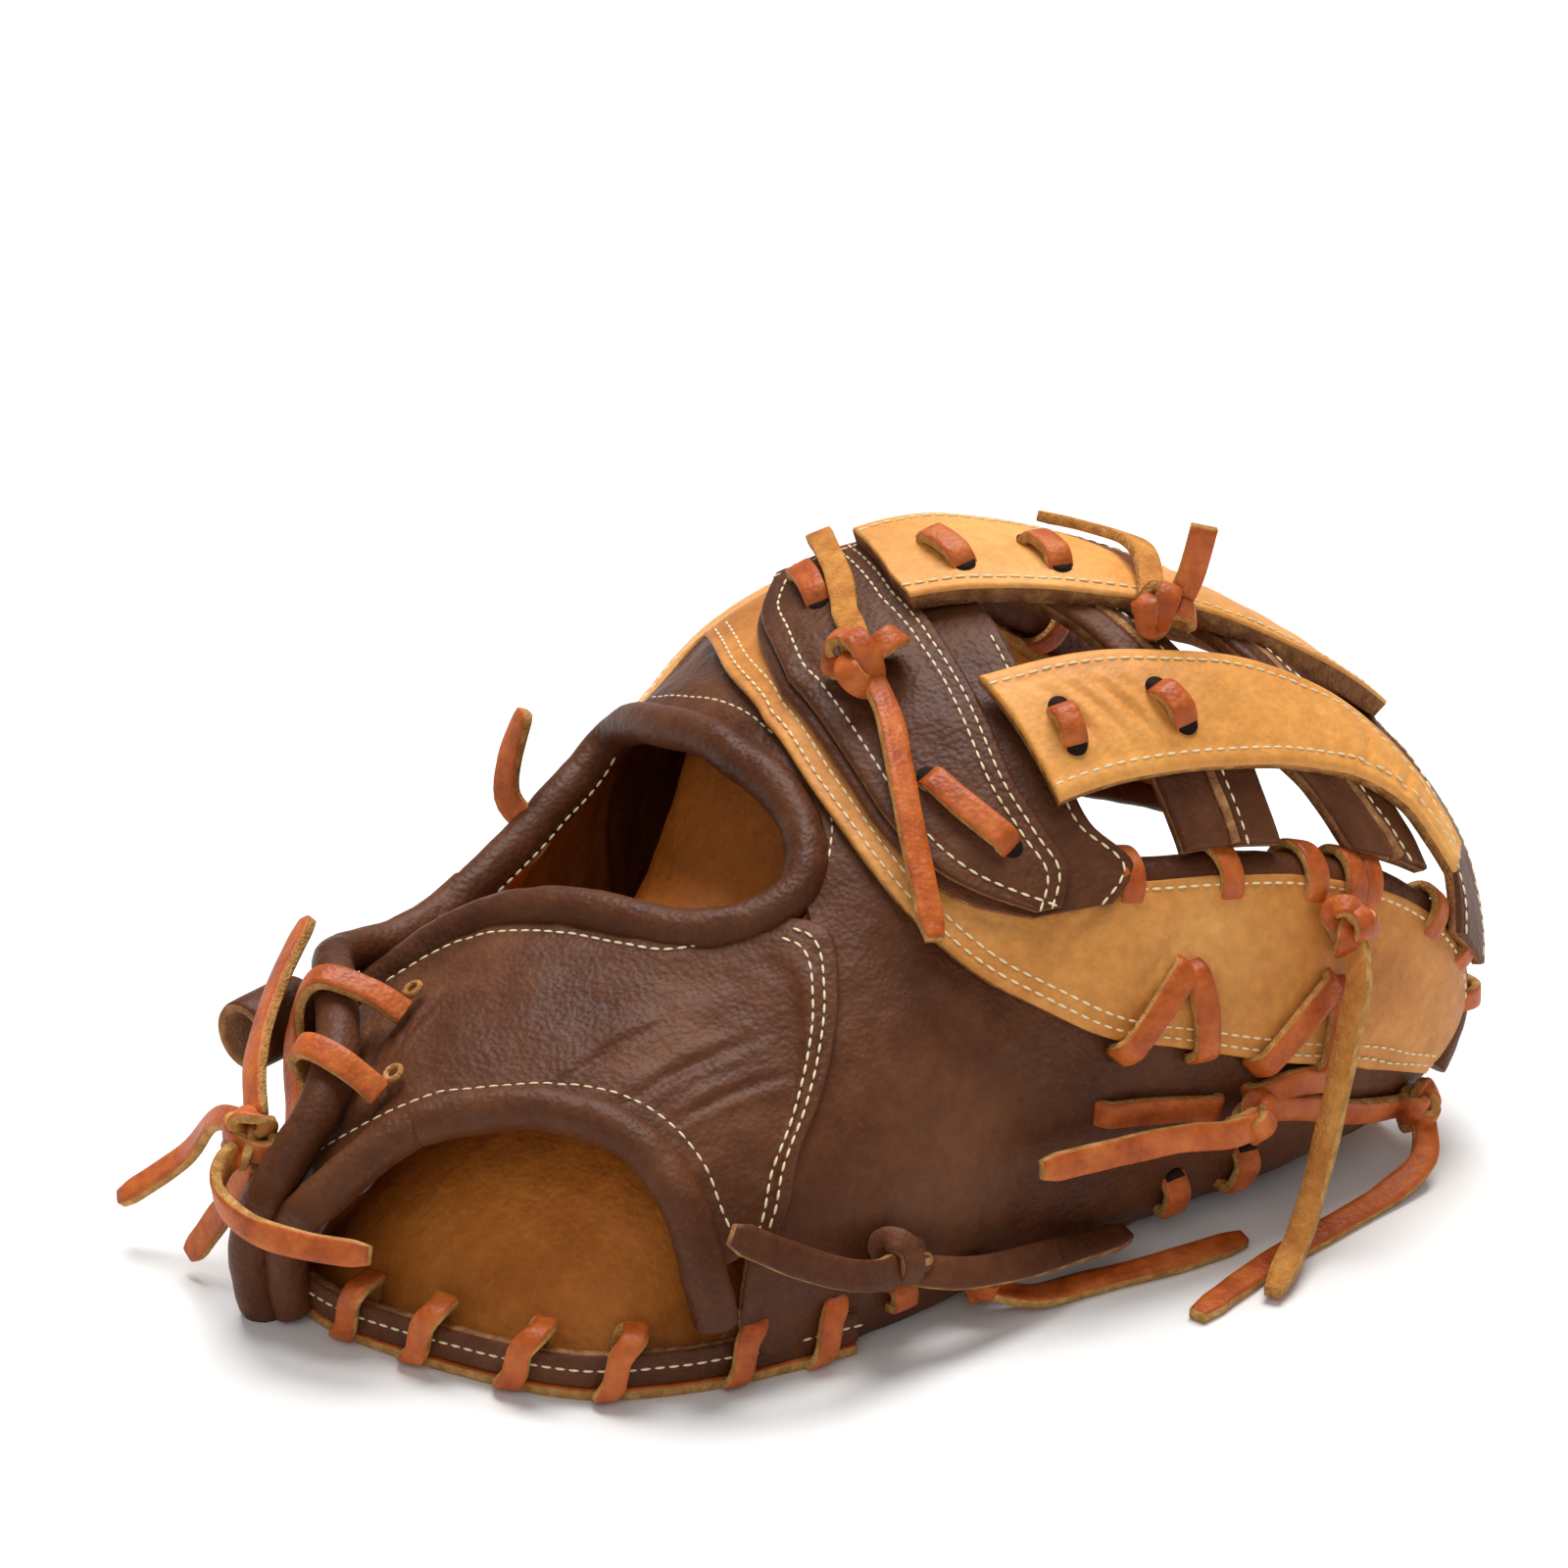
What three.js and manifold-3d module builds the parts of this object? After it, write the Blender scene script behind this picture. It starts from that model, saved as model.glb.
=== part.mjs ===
// First baseman mitt for the left hand, lying palm down with its back up. Millimetres, +Z up.
// +X runs from the wrist to the finger tips, +Y is the finger side and -Y the thumb side.
// The origin is on the floor, under the middle of the outline without the loose lace ends.
//
// One skin carries the whole mitt. A point of it is named by u, its share of the length, and v,
// its way round the section: -1 at the thumb side's rim on the floor, 0 on the ridge of the back
// and 1 at the finger side's rim. Every panel, roll and lace lies at a lift above that skin.
import * as THREE from "three";
import { mergeVertices } from "three/addons/utils/BufferGeometryUtils.js";
import Module from "manifold-3d";

const wasm = await Module();
wasm.setup();

// Driving sizes
const mittLength = 300;
const mittWidth = 214;
const mittHeight = 126;
const clearance = 0.3;
const layerGap = 0.9;
const laceSlack = 1.3;
const shellWall = 2.6;
const overlayWall = 2.5;
const basePanelWall = 3.9;
const postWall = 3.6;
const rungWall = 4.6;
const tipStrapWall = 3;
const palmPad = 8;
const handRoom = 28;
const openingRollRadius = 5;
const wristRollRadius = 5;
const sideRollRadius = 5;
const thumbRollRadius = 4.6;
const fingerRollRadius = 4.6;
const weltHeight = 8;
const weltWall = 3;
const laceWidth = 6;
const laceWall = 2.6;
const tieWidth = 7;
const tieWall = 2.6;
const knotRadius = 6.5;
const tabWall = 2.6;

// Leather, lace and their finish
const brownLeather = { color: 0x54332a, roughness: 0.55, metalness: 0 };
const tanLeather = { color: 0xcf9250, roughness: 0.6, metalness: 0 };
const liningLeather = { color: 0xb5733a, roughness: 0.7, metalness: 0 };
const laceLeather = { color: 0xc4622c, roughness: 0.6, metalness: 0 };

// The skin's sections. Stations and heights are shares of the length and height, sides and tucks
// of the width. A side's height is where that side is widest, and its tuck is how far it curls
// back in below that, on the way to the rim.
const sectionColumns = ["station", "ridgeSide", "ridgeHeight", "thumbSide", "thumbHeight", "thumbTuck",
  "fingerSide", "fingerHeight", "fingerTuck"];
const sectionRows = [
  [-0.04, 0, 0.3, -0.2, 0.095, 0.01, 0.11, 0.11, 0.012],
  [0, 0, 0.365, -0.225, 0.11, 0.01, 0.165, 0.135, 0.016],
  [0.1, 0, 0.492, -0.327, 0.16, 0.018, 0.272, 0.19, 0.028],
  [0.2, 0, 0.603, -0.374, 0.206, 0.028, 0.3, 0.222, 0.037],
  [0.333, -0.01, 0.762, -0.425, 0.238, 0.047, 0.31, 0.254, 0.047],
  [0.467, -0.047, 0.92, -0.495, 0.254, 0.084, 0.346, 0.285, 0.056],
  [0.6, -0.084, 1, -0.556, 0.254, 0.112, 0.411, 0.302, 0.065],
  [0.733, -0.14, 0.85, -0.57, 0.238, 0.121, 0.43, 0.302, 0.075],
  [0.867, -0.168, 0.54, -0.463, 0.175, 0.093, 0.374, 0.238, 0.075],
  [1, -0.14, 0.11, -0.29, 0.05, 0.056, 0.206, 0.065, 0.056],
];
const widestAt = 0.72;
const thumbFullness = 0.9;
const fingerFullness = 1.05;

// Hermite curves through the rows of a table, by its first column or evenly by row.
function hermite(a, b, slopeA, slopeB, t) {
  const t2 = t * t;
  const t3 = t2 * t;
  return (2 * t3 - 3 * t2 + 1) * a + (t3 - 2 * t2 + t) * slopeA + (3 * t2 - 2 * t3) * b + (t3 - t2) * slopeB;
}

function keyedRow(rows, key) {
  const last = rows.length - 1;
  let i = 0;
  while (i < last - 1 && key > rows[i + 1][0]) i += 1;
  const span = rows[i + 1][0] - rows[i][0];
  const t = (key - rows[i][0]) / span;
  const slope = (j, c) => {
    const before = rows[Math.max(j - 1, 0)];
    const after = rows[Math.min(j + 1, last)];
    return (span * (after[c] - before[c])) / (after[0] - before[0]);
  };
  return rows[i].map((a, c) => hermite(a, rows[i + 1][c], slope(i, c), slope(i + 1, c), t));
}

function evenRow(rows, share) {
  const last = rows.length - 1;
  const place = share * last;
  const i = THREE.MathUtils.clamp(Math.floor(place), 0, last - 1);
  const at = (j) => rows[THREE.MathUtils.clamp(j, 0, last)];
  return rows[i].map((a, c) => {
    const slopeA = (at(i + 1)[c] - at(i - 1)[c]) / 2;
    const slopeB = (at(i + 2)[c] - at(i)[c]) / 2;
    return hermite(a, rows[i + 1][c], slopeA, slopeB, place - i);
  });
}

function section(u) {
  const row = keyedRow(sectionRows, u);
  const named = {};
  sectionColumns.forEach((name, c) => {
    named[name] = row[c] * (name.includes("Height") ? mittHeight : mittWidth);
  });
  return named;
}

function skinPoint(u, v) {
  const s = section(u);
  const side = v < 0 ? "thumb" : "finger";
  const wide = s[side + "Side"];
  const wideHeight = s[side + "Height"];
  const tuck = s[side + "Tuck"] * Math.sign(-v);
  const fullness = v < 0 ? thumbFullness : fingerFullness;
  const round = Math.abs(v);
  if (round < widestAt) {
    const turn = (Math.PI / 2) * (round / widestAt);
    const y = s.ridgeSide + (wide - s.ridgeSide) * Math.sin(turn) ** fullness;
    const z = wideHeight + (s.ridgeHeight - wideHeight) * Math.cos(turn) ** fullness;
    return new THREE.Vector3(u * mittLength, y, z);
  }
  const turn = (Math.PI / 2) * ((round - widestAt) / (1 - widestAt));
  return new THREE.Vector3(u * mittLength, wide + tuck * (1 - Math.cos(turn)), wideHeight * (1 - Math.sin(turn)));
}

const stepU = 0.002;
const stepV = 0.004;
function skinNormal(u, v) {
  const along = skinPoint(u + stepU, v).sub(skinPoint(u - stepU, v));
  const round = skinPoint(u, v + stepV).sub(skinPoint(u, v - stepV));
  return along.cross(round).normalize();
}

function lifted(u, v, lift) {
  return skinPoint(u, v).addScaledVector(skinNormal(u, v), lift);
}

// Closed meshes
function closedGeometry(points, faces) {
  const position = new Float32Array(points.flatMap((p) => [p.x, p.y, p.z]));
  let sixVolumes = 0;
  faces.forEach(([a, b, c]) => {
    sixVolumes += points[a].dot(new THREE.Vector3().crossVectors(points[b], points[c]));
  });
  const outward = sixVolumes > 0 ? faces : faces.map(([a, b, c]) => [a, c, b]);
  const geometry = new THREE.BufferGeometry();
  geometry.setAttribute("position", new THREE.BufferAttribute(position, 3));
  geometry.setIndex(outward.flat());
  return geometry;
}

// A sheet between two grids of points that share their rows and columns.
function sheetBetween(outer, inner) {
  const rows = outer.length;
  const columns = outer[0].length;
  const points = [...outer.flat(), ...inner.flat()];
  const at = (i, j, layer) => layer * rows * columns + i * columns + j;
  const faces = [];
  const quad = (a, b, c, d) => faces.push([a, b, c], [a, c, d]);
  for (let i = 0; i < rows - 1; i += 1) {
    for (let j = 0; j < columns - 1; j += 1) {
      quad(at(i, j, 0), at(i + 1, j, 0), at(i + 1, j + 1, 0), at(i, j + 1, 0));
      quad(at(i, j, 1), at(i, j + 1, 1), at(i + 1, j + 1, 1), at(i + 1, j, 1));
    }
    quad(at(i, 0, 0), at(i, 0, 1), at(i + 1, 0, 1), at(i + 1, 0, 0));
    quad(at(i, columns - 1, 0), at(i + 1, columns - 1, 0), at(i + 1, columns - 1, 1), at(i, columns - 1, 1));
  }
  for (let j = 0; j < columns - 1; j += 1) {
    quad(at(0, j, 0), at(0, j + 1, 0), at(0, j + 1, 1), at(0, j, 1));
    quad(at(rows - 1, j, 0), at(rows - 1, j, 1), at(rows - 1, j + 1, 1), at(rows - 1, j + 1, 0));
  }
  return closedGeometry(points, faces);
}

// A panel: each row of its table is a line across it, from one edge to the other, and may end
// with a lift of its own that is added to the panel's layer. A grown panel is a cutter: it is
// thicker by that much on each face and reaches a little past every edge.
const edgeReach = 0.02;
function shares(count, grow) {
  const inside = Array.from({ length: count + 1 }, (_, i) => i / count);
  return grow > 0 ? [-grow * edgeReach, ...inside, 1 + grow * edgeReach] : inside;
}

function panel({ rows, along, across, low, high, grow = 0 }) {
  const outer = [];
  const inner = [];
  for (const place of shares(along, grow)) {
    const [uA, vA, uB, vB, rise = 0] = evenRow(rows, place);
    const lineOut = [];
    const lineIn = [];
    for (const share of shares(across, grow)) {
      const u = THREE.MathUtils.lerp(uA, uB, share);
      const v = THREE.MathUtils.lerp(vA, vB, share);
      lineOut.push(lifted(u, v, high + rise + grow));
      lineIn.push(lifted(u, v, low + rise - grow));
    }
    outer.push(lineOut);
    inner.push(lineIn);
  }
  return sheetBetween(outer, inner);
}

// A bar swept along centres, with an oval section whose wall stands along the ups.
function sweep({ centres, ups, width, wall, sides = 8, closed = false, square = 1 }) {
  const count = centres.length;
  const rings = centres.map((centre, i) => {
    const before = centres[closed ? (i + count - 1) % count : Math.max(i - 1, 0)];
    const after = centres[closed ? (i + 1) % count : Math.min(i + 1, count - 1)];
    const tangent = new THREE.Vector3().subVectors(after, before).normalize();
    const across = new THREE.Vector3().crossVectors(tangent, ups[i]).normalize();
    const up = new THREE.Vector3().crossVectors(across, tangent);
    return Array.from({ length: sides }, (_, k) => {
      const turn = ((k + 0.5) / sides) * 2 * Math.PI;
      const wide = Math.sign(Math.cos(turn)) * Math.abs(Math.cos(turn)) ** square;
      const tall = Math.sign(Math.sin(turn)) * Math.abs(Math.sin(turn)) ** square;
      return centre.clone().addScaledVector(across, (wide * width) / 2).addScaledVector(up, (tall * wall) / 2);
    });
  });
  const points = rings.flat();
  const faces = [];
  const spans = closed ? count : count - 1;
  for (let i = 0; i < spans; i += 1) {
    for (let k = 0; k < sides; k += 1) {
      const a = i * sides + k;
      const b = i * sides + ((k + 1) % sides);
      const c = ((i + 1) % count) * sides + ((k + 1) % sides);
      const d = ((i + 1) % count) * sides + k;
      faces.push([a, b, c], [a, c, d]);
    }
  }
  if (!closed) {
    for (let k = 1; k < sides - 1; k += 1) {
      faces.push([0, k + 1, k]);
      faces.push([(count - 1) * sides, (count - 1) * sides + k, (count - 1) * sides + k + 1]);
    }
  }
  return closedGeometry(points, faces);
}

// Points and ups along a path whose rows are u, v and lift.
function skinPath(rows, steps, closed = false) {
  const list = closed ? [...rows, rows[0]] : rows;
  const centres = [];
  const ups = [];
  const count = closed ? steps : steps + 1;
  for (let i = 0; i < count; i += 1) {
    const [u, v, lift] = evenRow(list, i / steps);
    centres.push(lifted(u, v, lift));
    ups.push(skinNormal(u, v));
  }
  return { centres, ups };
}

const rollSides = 8;
function roll(path, radius, grow = 0, closed = false) {
  return sweep({ ...path, width: 2 * (radius + grow), wall: 2 * (radius + grow), sides: rollSides, closed });
}

function strip(path, grow = 0, width = laceWidth, wall = laceWall) {
  return sweep({ ...path, width: width + 2 * grow, wall: wall + 2 * grow, sides: 4, square: 0 });
}

const tailSquareness = 0.45;
function tail(path, width = laceWidth, wall = laceWall) {
  return sweep({ ...path, width, wall, square: tailSquareness });
}

// Solids for joining and cutting
function solid(geometry) {
  const bare = geometry.clone();
  bare.deleteAttribute("normal");
  bare.deleteAttribute("uv");
  const merged = mergeVertices(bare, 1e-4);
  const triVerts = new Uint32Array(merged.index.array);
  const vertProperties = merged.attributes.position.array;
  return new wasm.Manifold(new wasm.Mesh({ numProp: 3, vertProperties, triVerts }));
}

function geometryOf(made) {
  const mesh = made.getMesh();
  const position = new Float32Array(mesh.numVert * 3);
  for (let i = 0; i < mesh.numVert; i += 1) {
    position.set(mesh.vertProperties.subarray(i * mesh.numProp, i * mesh.numProp + 3), i * 3);
  }
  const geometry = new THREE.BufferGeometry();
  geometry.setAttribute("position", new THREE.BufferAttribute(position, 3));
  geometry.setIndex([...mesh.triVerts]);
  return geometry;
}

function joined(geometries) {
  return geometryOf(geometries.map(solid).reduce((all, next) => all.add(next)));
}

function cutBy(geometry, cutters) {
  return geometryOf(cutters.map(solid).reduce((left, cutter) => left.subtract(cutter), solid(geometry)));
}

// Curves that several pieces share, as rows of u and v
const thumbWebEdge = [
  [0.455, -0.41], [0.5, -0.445], [0.55, -0.475], [0.608, -0.507], [0.66, -0.533], [0.71, -0.575],
  [0.745, -0.625], [0.768, -0.69], [0.764, -0.75], [0.74, -0.8],
];
const fingerWebEdge = [
  [0.53, 0.24], [0.56, 0.2], [0.62, 0.185], [0.7, 0.165], [0.78, 0.15], [0.86, 0.14], [0.93, 0.12], [0.965, 0.1],
];
const openingRim = [
  [0.425, 0.39], [0.39, 0.2], [0.372, 0.05], [0.355, -0.06], [0.335, -0.13], [0.305, -0.175], [0.27, -0.17],
  [0.238, -0.12], [0.222, -0.03], [0.212, 0.1], [0.195, 0.24], [0.16, 0.36], [0.145, 0.42], [0.2, 0.45],
  [0.28, 0.44], [0.36, 0.425],
];
const wristRim = [
  [-0.036, 0.28], [-0.03, 0.2], [-0.016, 0.12], [0.006, 0.055], [0.022, 0.01], [0.045, -0.05], [0.07, -0.13],
  [0.088, -0.22], [0.095, -0.31], [0.093, -0.43], [0.087, -0.55], [0.086, -0.65], [0.09, -0.73],
];

// Rolls: padded tubes of leather round the openings and along the web side of thumb and fingers
const openingRollLift = -1;
function openingRoll(grow = 0) {
  const path = skinPath(openingRim.map(([u, v]) => [u, v, openingRollLift]), 28, true);
  return roll(path, openingRollRadius, grow, true);
}

const wristRollLift = -1;
function wristRoll(grow = 0) {
  return roll(skinPath(wristRim.map(([u, v]) => [u, v, wristRollLift]), 20), wristRollRadius, grow);
}

const thumbRollLift = -3.6;
function thumbRoll(grow = 0) {
  return roll(skinPath(thumbWebEdge.map(([u, v]) => [u, v, thumbRollLift]), 15), thumbRollRadius, grow);
}

const fingerRollLift = -3.6;
function fingerRoll(grow = 0) {
  return roll(skinPath(fingerWebEdge.map(([u, v]) => [u, v, fingerRollLift]), 11), fingerRollRadius, grow);
}

// The side roll crosses over the left end of the strap, down to the heel's finger side corner.
const sideRollRows = [
  [0.155, 0.46, 9.6], [0.137, 0.4, 10.4], [0.105, 0.33, 9], [0.06, 0.27, 6.4], [0.02, 0.25, 5.8],
  [-0.008, 0.3, 5.8], [-0.024, 0.4, 5.8], [-0.03, 0.54, 5.8], [-0.032, 0.7, 5.7], [-0.03, 0.82, 5.5],
];
function sideRoll(grow = 0) {
  return roll(skinPath(sideRollRows, 17), sideRollRadius, grow);
}

// The back's panels, edge to edge in one layer
const back = { low: -shellWall, high: 0 };
const thumbBackRows = [
  [0.19, -1, 0.63, -1], [0.14, -0.9, 0.675, -0.88], [0.106, -0.76, 0.746, -0.76], [0.122, -0.58, 0.768, -0.68],
  [0.158, -0.49, 0.73, -0.6], [0.192, -0.43, 0.66, -0.533], [0.224, -0.37, 0.55, -0.475],
  [0.255, -0.305, 0.46, -0.415], [0.282, -0.235, 0.445, -0.3], [0.302, -0.183, 0.44, -0.2],
  [0.333, -0.14, 0.445, -0.11], [0.36, -0.05, 0.46, -0.02], [0.376, 0.05, 0.475, 0.07],
  [0.393, 0.2, 0.495, 0.2], [0.42, 0.355, 0.52, 0.34],
];
const strapRows = [
  [0.121, -0.6, 0.087, -0.62], [0.152, -0.495, 0.088, -0.5],
  [0.187, -0.435, 0.093, -0.42], [0.219, -0.375, 0.095, -0.35], [0.25, -0.31, 0.094, -0.29],
  [0.276, -0.24, 0.088, -0.22], [0.27, -0.17, 0.075, -0.15], [0.235, -0.11, 0.055, -0.08],
  [0.22, 0, 0.03, 0], [0.21, 0.11, 0.01, 0.07], [0.195, 0.24, -0.008, 0.16], [0.165, 0.345, -0.022, 0.28],
  [0.14, 0.41, -0.028, 0.41],
];
const fingerSideRows = [
  [-0.03, 0.43, -0.03, 1], [0.02, 0.43, 0.02, 1], [0.07, 0.43, 0.07, 1], [0.12, 0.43, 0.12, 1],
  [0.16, 0.44, 0.16, 1], [0.196, 0.45, 0.196, 1],
];
const fingerBackRows = [
  [0.2, 0.45, 0.2, 1], [0.28, 0.44, 0.28, 1], [0.36, 0.425, 0.36, 1], [0.42, 0.385, 0.42, 1],
  [0.48, 0.375, 0.48, 1], [0.525, 0.35, 0.53, 1], [0.535, 0.24, 0.57, 1], [0.57, 0.2, 0.61, 1],
  [0.64, 0.18, 0.68, 1], [0.74, 0.155, 0.77, 1], [0.84, 0.14, 0.86, 1], [0.92, 0.12, 0.93, 1],
  [0.97, 0.09, 0.97, 1],
];

// The overlay is a band sewn on the back, round the foot of the web and along the thumb.
const overlay = { low: layerGap, high: layerGap + overlayWall };
const overlayRows = [
  [0.493, 0.275, 0.535, 0.2], [0.433, 0.147, 0.5, 0.08], [0.395, 0.008, 0.47, -0.02], [0.362, -0.1, 0.447, -0.11],
  [0.34, -0.215, 0.435, -0.2], [0.333, -0.3, 0.428, -0.29], [0.337, -0.385, 0.436, -0.36],
  [0.355, -0.465, 0.46, -0.418], [0.403, -0.573, 0.533, -0.468], [0.458, -0.627, 0.61, -0.51],
  [0.537, -0.682, 0.687, -0.555], [0.627, -0.722, 0.74, -0.622], [0.693, -0.765, 0.762, -0.7],
];

// The web: a two layer base panel, two posts, rungs under the posts and a strap across the tips
const basePanel = { low: overlay.high + layerGap, high: overlay.high + layerGap + basePanelWall };
const basePanelRows = [
  [0.4, -0.402, 0.445, -0.438], [0.374, -0.348, 0.472, -0.41], [0.362, -0.287, 0.463, -0.345],
  [0.366, -0.21, 0.475, -0.275], [0.383, -0.13, 0.502, -0.18], [0.407, -0.043, 0.531, -0.095],
  [0.44, 0.06, 0.55, -0.03], [0.475, 0.137, 0.564, 0.035], [0.525, 0.18, 0.575, 0.1],
];
const postLayer = { low: basePanel.high + layerGap, high: basePanel.high + layerGap + postWall };
const nearPostRows = [
  [0.477, -0.15, 0.448, -0.315, 0], [0.513, -0.172, 0.49, -0.328, -0.5], [0.547, -0.195, 0.53, -0.348, -1.5],
  [0.59, -0.232, 0.573, -0.372, -2.2], [0.642, -0.262, 0.615, -0.392, -2.2], [0.688, -0.3, 0.66, -0.412, -2.2],
  [0.714, -0.362, 0.69, -0.445, -2], [0.725, -0.435, 0.7, -0.488, -1.4], [0.728, -0.5, 0.708, -0.53, -0.8],
];
const farPostRows = [
  [0.558, 0.11, 0.508, -0.03, 0], [0.59, 0.075, 0.53, -0.055, -0.5], [0.62, 0.035, 0.562, -0.1, -1.5],
  [0.66, 0, 0.598, -0.15, -2], [0.71, -0.045, 0.65, -0.185, -2], [0.76, -0.09, 0.7, -0.215, -2],
  [0.81, -0.13, 0.75, -0.245, -1], [0.85, -0.155, 0.79, -0.27, 0],
];
const rungLayer = { low: 1.6, high: 1.6 + rungWall };
const rungRows = {
  web_rung_thumb_1: [[0.522, -0.33, 0.59, -0.36], [0.516, -0.37, 0.584, -0.4], [0.511, -0.402, 0.578, -0.438]],
  web_rung_thumb_2: [[0.615, -0.37, 0.69, -0.4], [0.628, -0.425, 0.7, -0.46], [0.636, -0.462, 0.703, -0.5]],
  web_rung_middle_1: [[0.57, -0.07, 0.606, -0.09], [0.568, -0.15, 0.61, -0.17], [0.558, -0.24, 0.602, -0.26]],
  web_rung_middle_2: [[0.665, -0.15, 0.7, -0.17], [0.662, -0.22, 0.7, -0.245], [0.655, -0.3, 0.69, -0.33]],
  web_rung_finger_1: [[0.605, 0.02, 0.66, -0.02], [0.6, 0.09, 0.658, 0.07], [0.598, 0.155, 0.656, 0.14]],
  web_rung_finger_2: [[0.73, -0.1, 0.79, -0.13], [0.735, 0.01, 0.795, 0], [0.74, 0.12, 0.8, 0.11]],
};
const tipStrap = { low: overlay.high + layerGap, high: overlay.high + layerGap + tipStrapWall };
const tipStrapRows = [
  [0.762, -0.66, 0.716, -0.6], [0.785, -0.56, 0.736, -0.52], [0.81, -0.43, 0.762, -0.4],
  [0.84, -0.28, 0.79, -0.25], [0.88, -0.13, 0.828, -0.11], [0.925, 0, 0.868, 0.02], [0.965, 0.16, 0.905, 0.17],
];

// The palm: a padded shell from the heel under the hand to the tips, cut away under the web.
// Its top hangs below the back by the shell's wall and by the room for the hand.
const palmStart = 0.22;
const palmEnd = 0.965;
const heelRows = [
  [-1, 0.15, -0.332], [-0.8, 0.097, -0.294], [-0.6, 0.047, -0.238], [-0.4, 0.02, -0.178], [-0.2, 0, -0.084],
  [0, -0.01, -0.01], [0.2, -0.014, 0.05], [0.4, -0.01, 0.1], [0.6, 0.003, 0.142], [0.8, 0.04, 0.185],
  [1, 0.1, 0.232],
];
const notchRows = [
  [0.46, -0.44, 0.47, 0.2], [0.52, -0.515, 0.53, 0.27], [0.6, -0.56, 0.61, 0.25], [0.65, -0.6, 0.68, 0.23],
  [0.695, -0.645, 0.74, 0.215], [0.722, -0.71, 0.8, 0.2], [0.722, -0.78, 0.86, 0.19], [0.705, -0.85, 0.93, 0.18],
  [0.69, -0.92, 0.985, 0.17], [0.66, -1.04, 1.03, 0.16], [0.76, -1.04, 1.03, 0.12], [0.86, -1.04, 1.03, 0.06],
  [0.95, -1.04, 1.03, 0], [1.02, -1.04, 1.03, -0.06],
];

const smoothRise = (share) => THREE.MathUtils.smoothstep(share, 0, 1);
const rimRise = 0.34;
const webRise = 0.3;
function palmDepth(u, v) {
  const round = Math.abs(v);
  const edges = v < 0 ? thumbWebEdge : fingerWebEdge;
  const edge = Math.abs(keyedRow(edges.slice(0, v < 0 ? 8 : edges.length), Math.max(u, edges[0][0]))[1]);
  const closing = smoothRise((u - 0.36) / 0.16);
  const open = 1 - closing * (1 - smoothRise((round - edge) / webRise));
  const tipAt = v < 0 ? 0.77 : palmEnd;
  const taper = smoothRise((tipAt - u) / 0.2);
  return shellWall + 2 * clearance + handRoom * smoothRise((1 - round) / rimRise) * open * taper;
}

function towardsCore(u, v, depth) {
  const point = skinPoint(u, v);
  const core = new THREE.Vector3(u * mittLength, section(u).ridgeSide, 0);
  const inward = core.sub(point);
  return point.addScaledVector(inward.normalize(), depth);
}

function palmPoint(reach, v, extra) {
  const u = THREE.MathUtils.lerp(palmStart, palmEnd, Math.max(reach, 0));
  if (reach >= 0) return towardsCore(u, v, palmDepth(u, v) + extra);
  const [, heelX, heelY] = keyedRow(heelRows, v);
  const heel = new THREE.Vector3(heelX * mittLength, heelY * mittWidth, 0);
  const centre = new THREE.Vector3(palmStart * mittLength, 0, 0);
  heel.addScaledVector(centre.clone().sub(heel).normalize(), extra);
  const inner = towardsCore(u, v, palmDepth(u, v) + extra);
  const share = 1 + reach;
  const height = inner.z * Math.sin((share * Math.PI) / 2) ** 0.8;
  const point = heel.lerp(inner, share);
  point.z = height;
  return point;
}

function palmShell(cutters) {
  const around = 16;
  const heelSteps = 4;
  const reachSteps = 9;
  const outer = [];
  const inner = [];
  for (let i = -heelSteps; i <= reachSteps; i += 1) {
    const reach = i < 0 ? i / heelSteps : i / reachSteps;
    const lineOut = [];
    const lineIn = [];
    for (let j = 0; j <= around; j += 1) {
      const v = (2 * j) / around - 1;
      lineOut.push(palmPoint(reach, v, 0));
      lineIn.push(palmPoint(reach, v, palmPad));
    }
    outer.push(lineOut);
    inner.push(lineIn);
  }
  return cutBy(sheetBetween(outer, inner), cutters);
}

function notchCutter() {
  const outer = [];
  const inner = [];
  const above = -24;
  const below = 48;
  for (let i = 0; i <= 18; i += 1) {
    const [uA, vA, uB, vB] = evenRow(notchRows, i / 18);
    const lineOut = [];
    const lineIn = [];
    for (let j = 0; j <= 6; j += 1) {
      const u = THREE.MathUtils.lerp(uA, uB, j / 6);
      const v = THREE.MathUtils.lerp(vA, vB, j / 6);
      lineOut.push(towardsCore(u, v, above));
      lineIn.push(towardsCore(u, v, below));
    }
    outer.push(lineOut);
    inner.push(lineIn);
  }
  return sheetBetween(outer, inner);
}

// The heel's welt stands round the palm's rim, and the heel lace is whipped over both
const weltRows = [[-1.2, 0.2, -0.362], ...heelRows.slice(0, -3)];
const weltLift = laceWall + 2 * clearance;
function rimPath(share, out, height) {
  const row = evenRow(weltRows, share);
  const ahead = evenRow(weltRows, Math.min(share + 0.01, 1));
  const behind = evenRow(weltRows, Math.max(share - 0.01, 0));
  const tangent = new THREE.Vector3((ahead[1] - behind[1]) * mittLength, (ahead[2] - behind[2]) * mittWidth, 0);
  const outward = new THREE.Vector3(-tangent.y, tangent.x, 0).normalize();
  const point = new THREE.Vector3(row[1] * mittLength, row[2] * mittWidth, height);
  return { centre: point.addScaledVector(outward, out), outward };
}

function alongRim(steps, out, height) {
  const places = Array.from({ length: steps + 1 }, (_, i) => rimPath(i / steps, out, height));
  return { centres: places.map((p) => p.centre), ups: places.map((p) => p.outward) };
}

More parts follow.
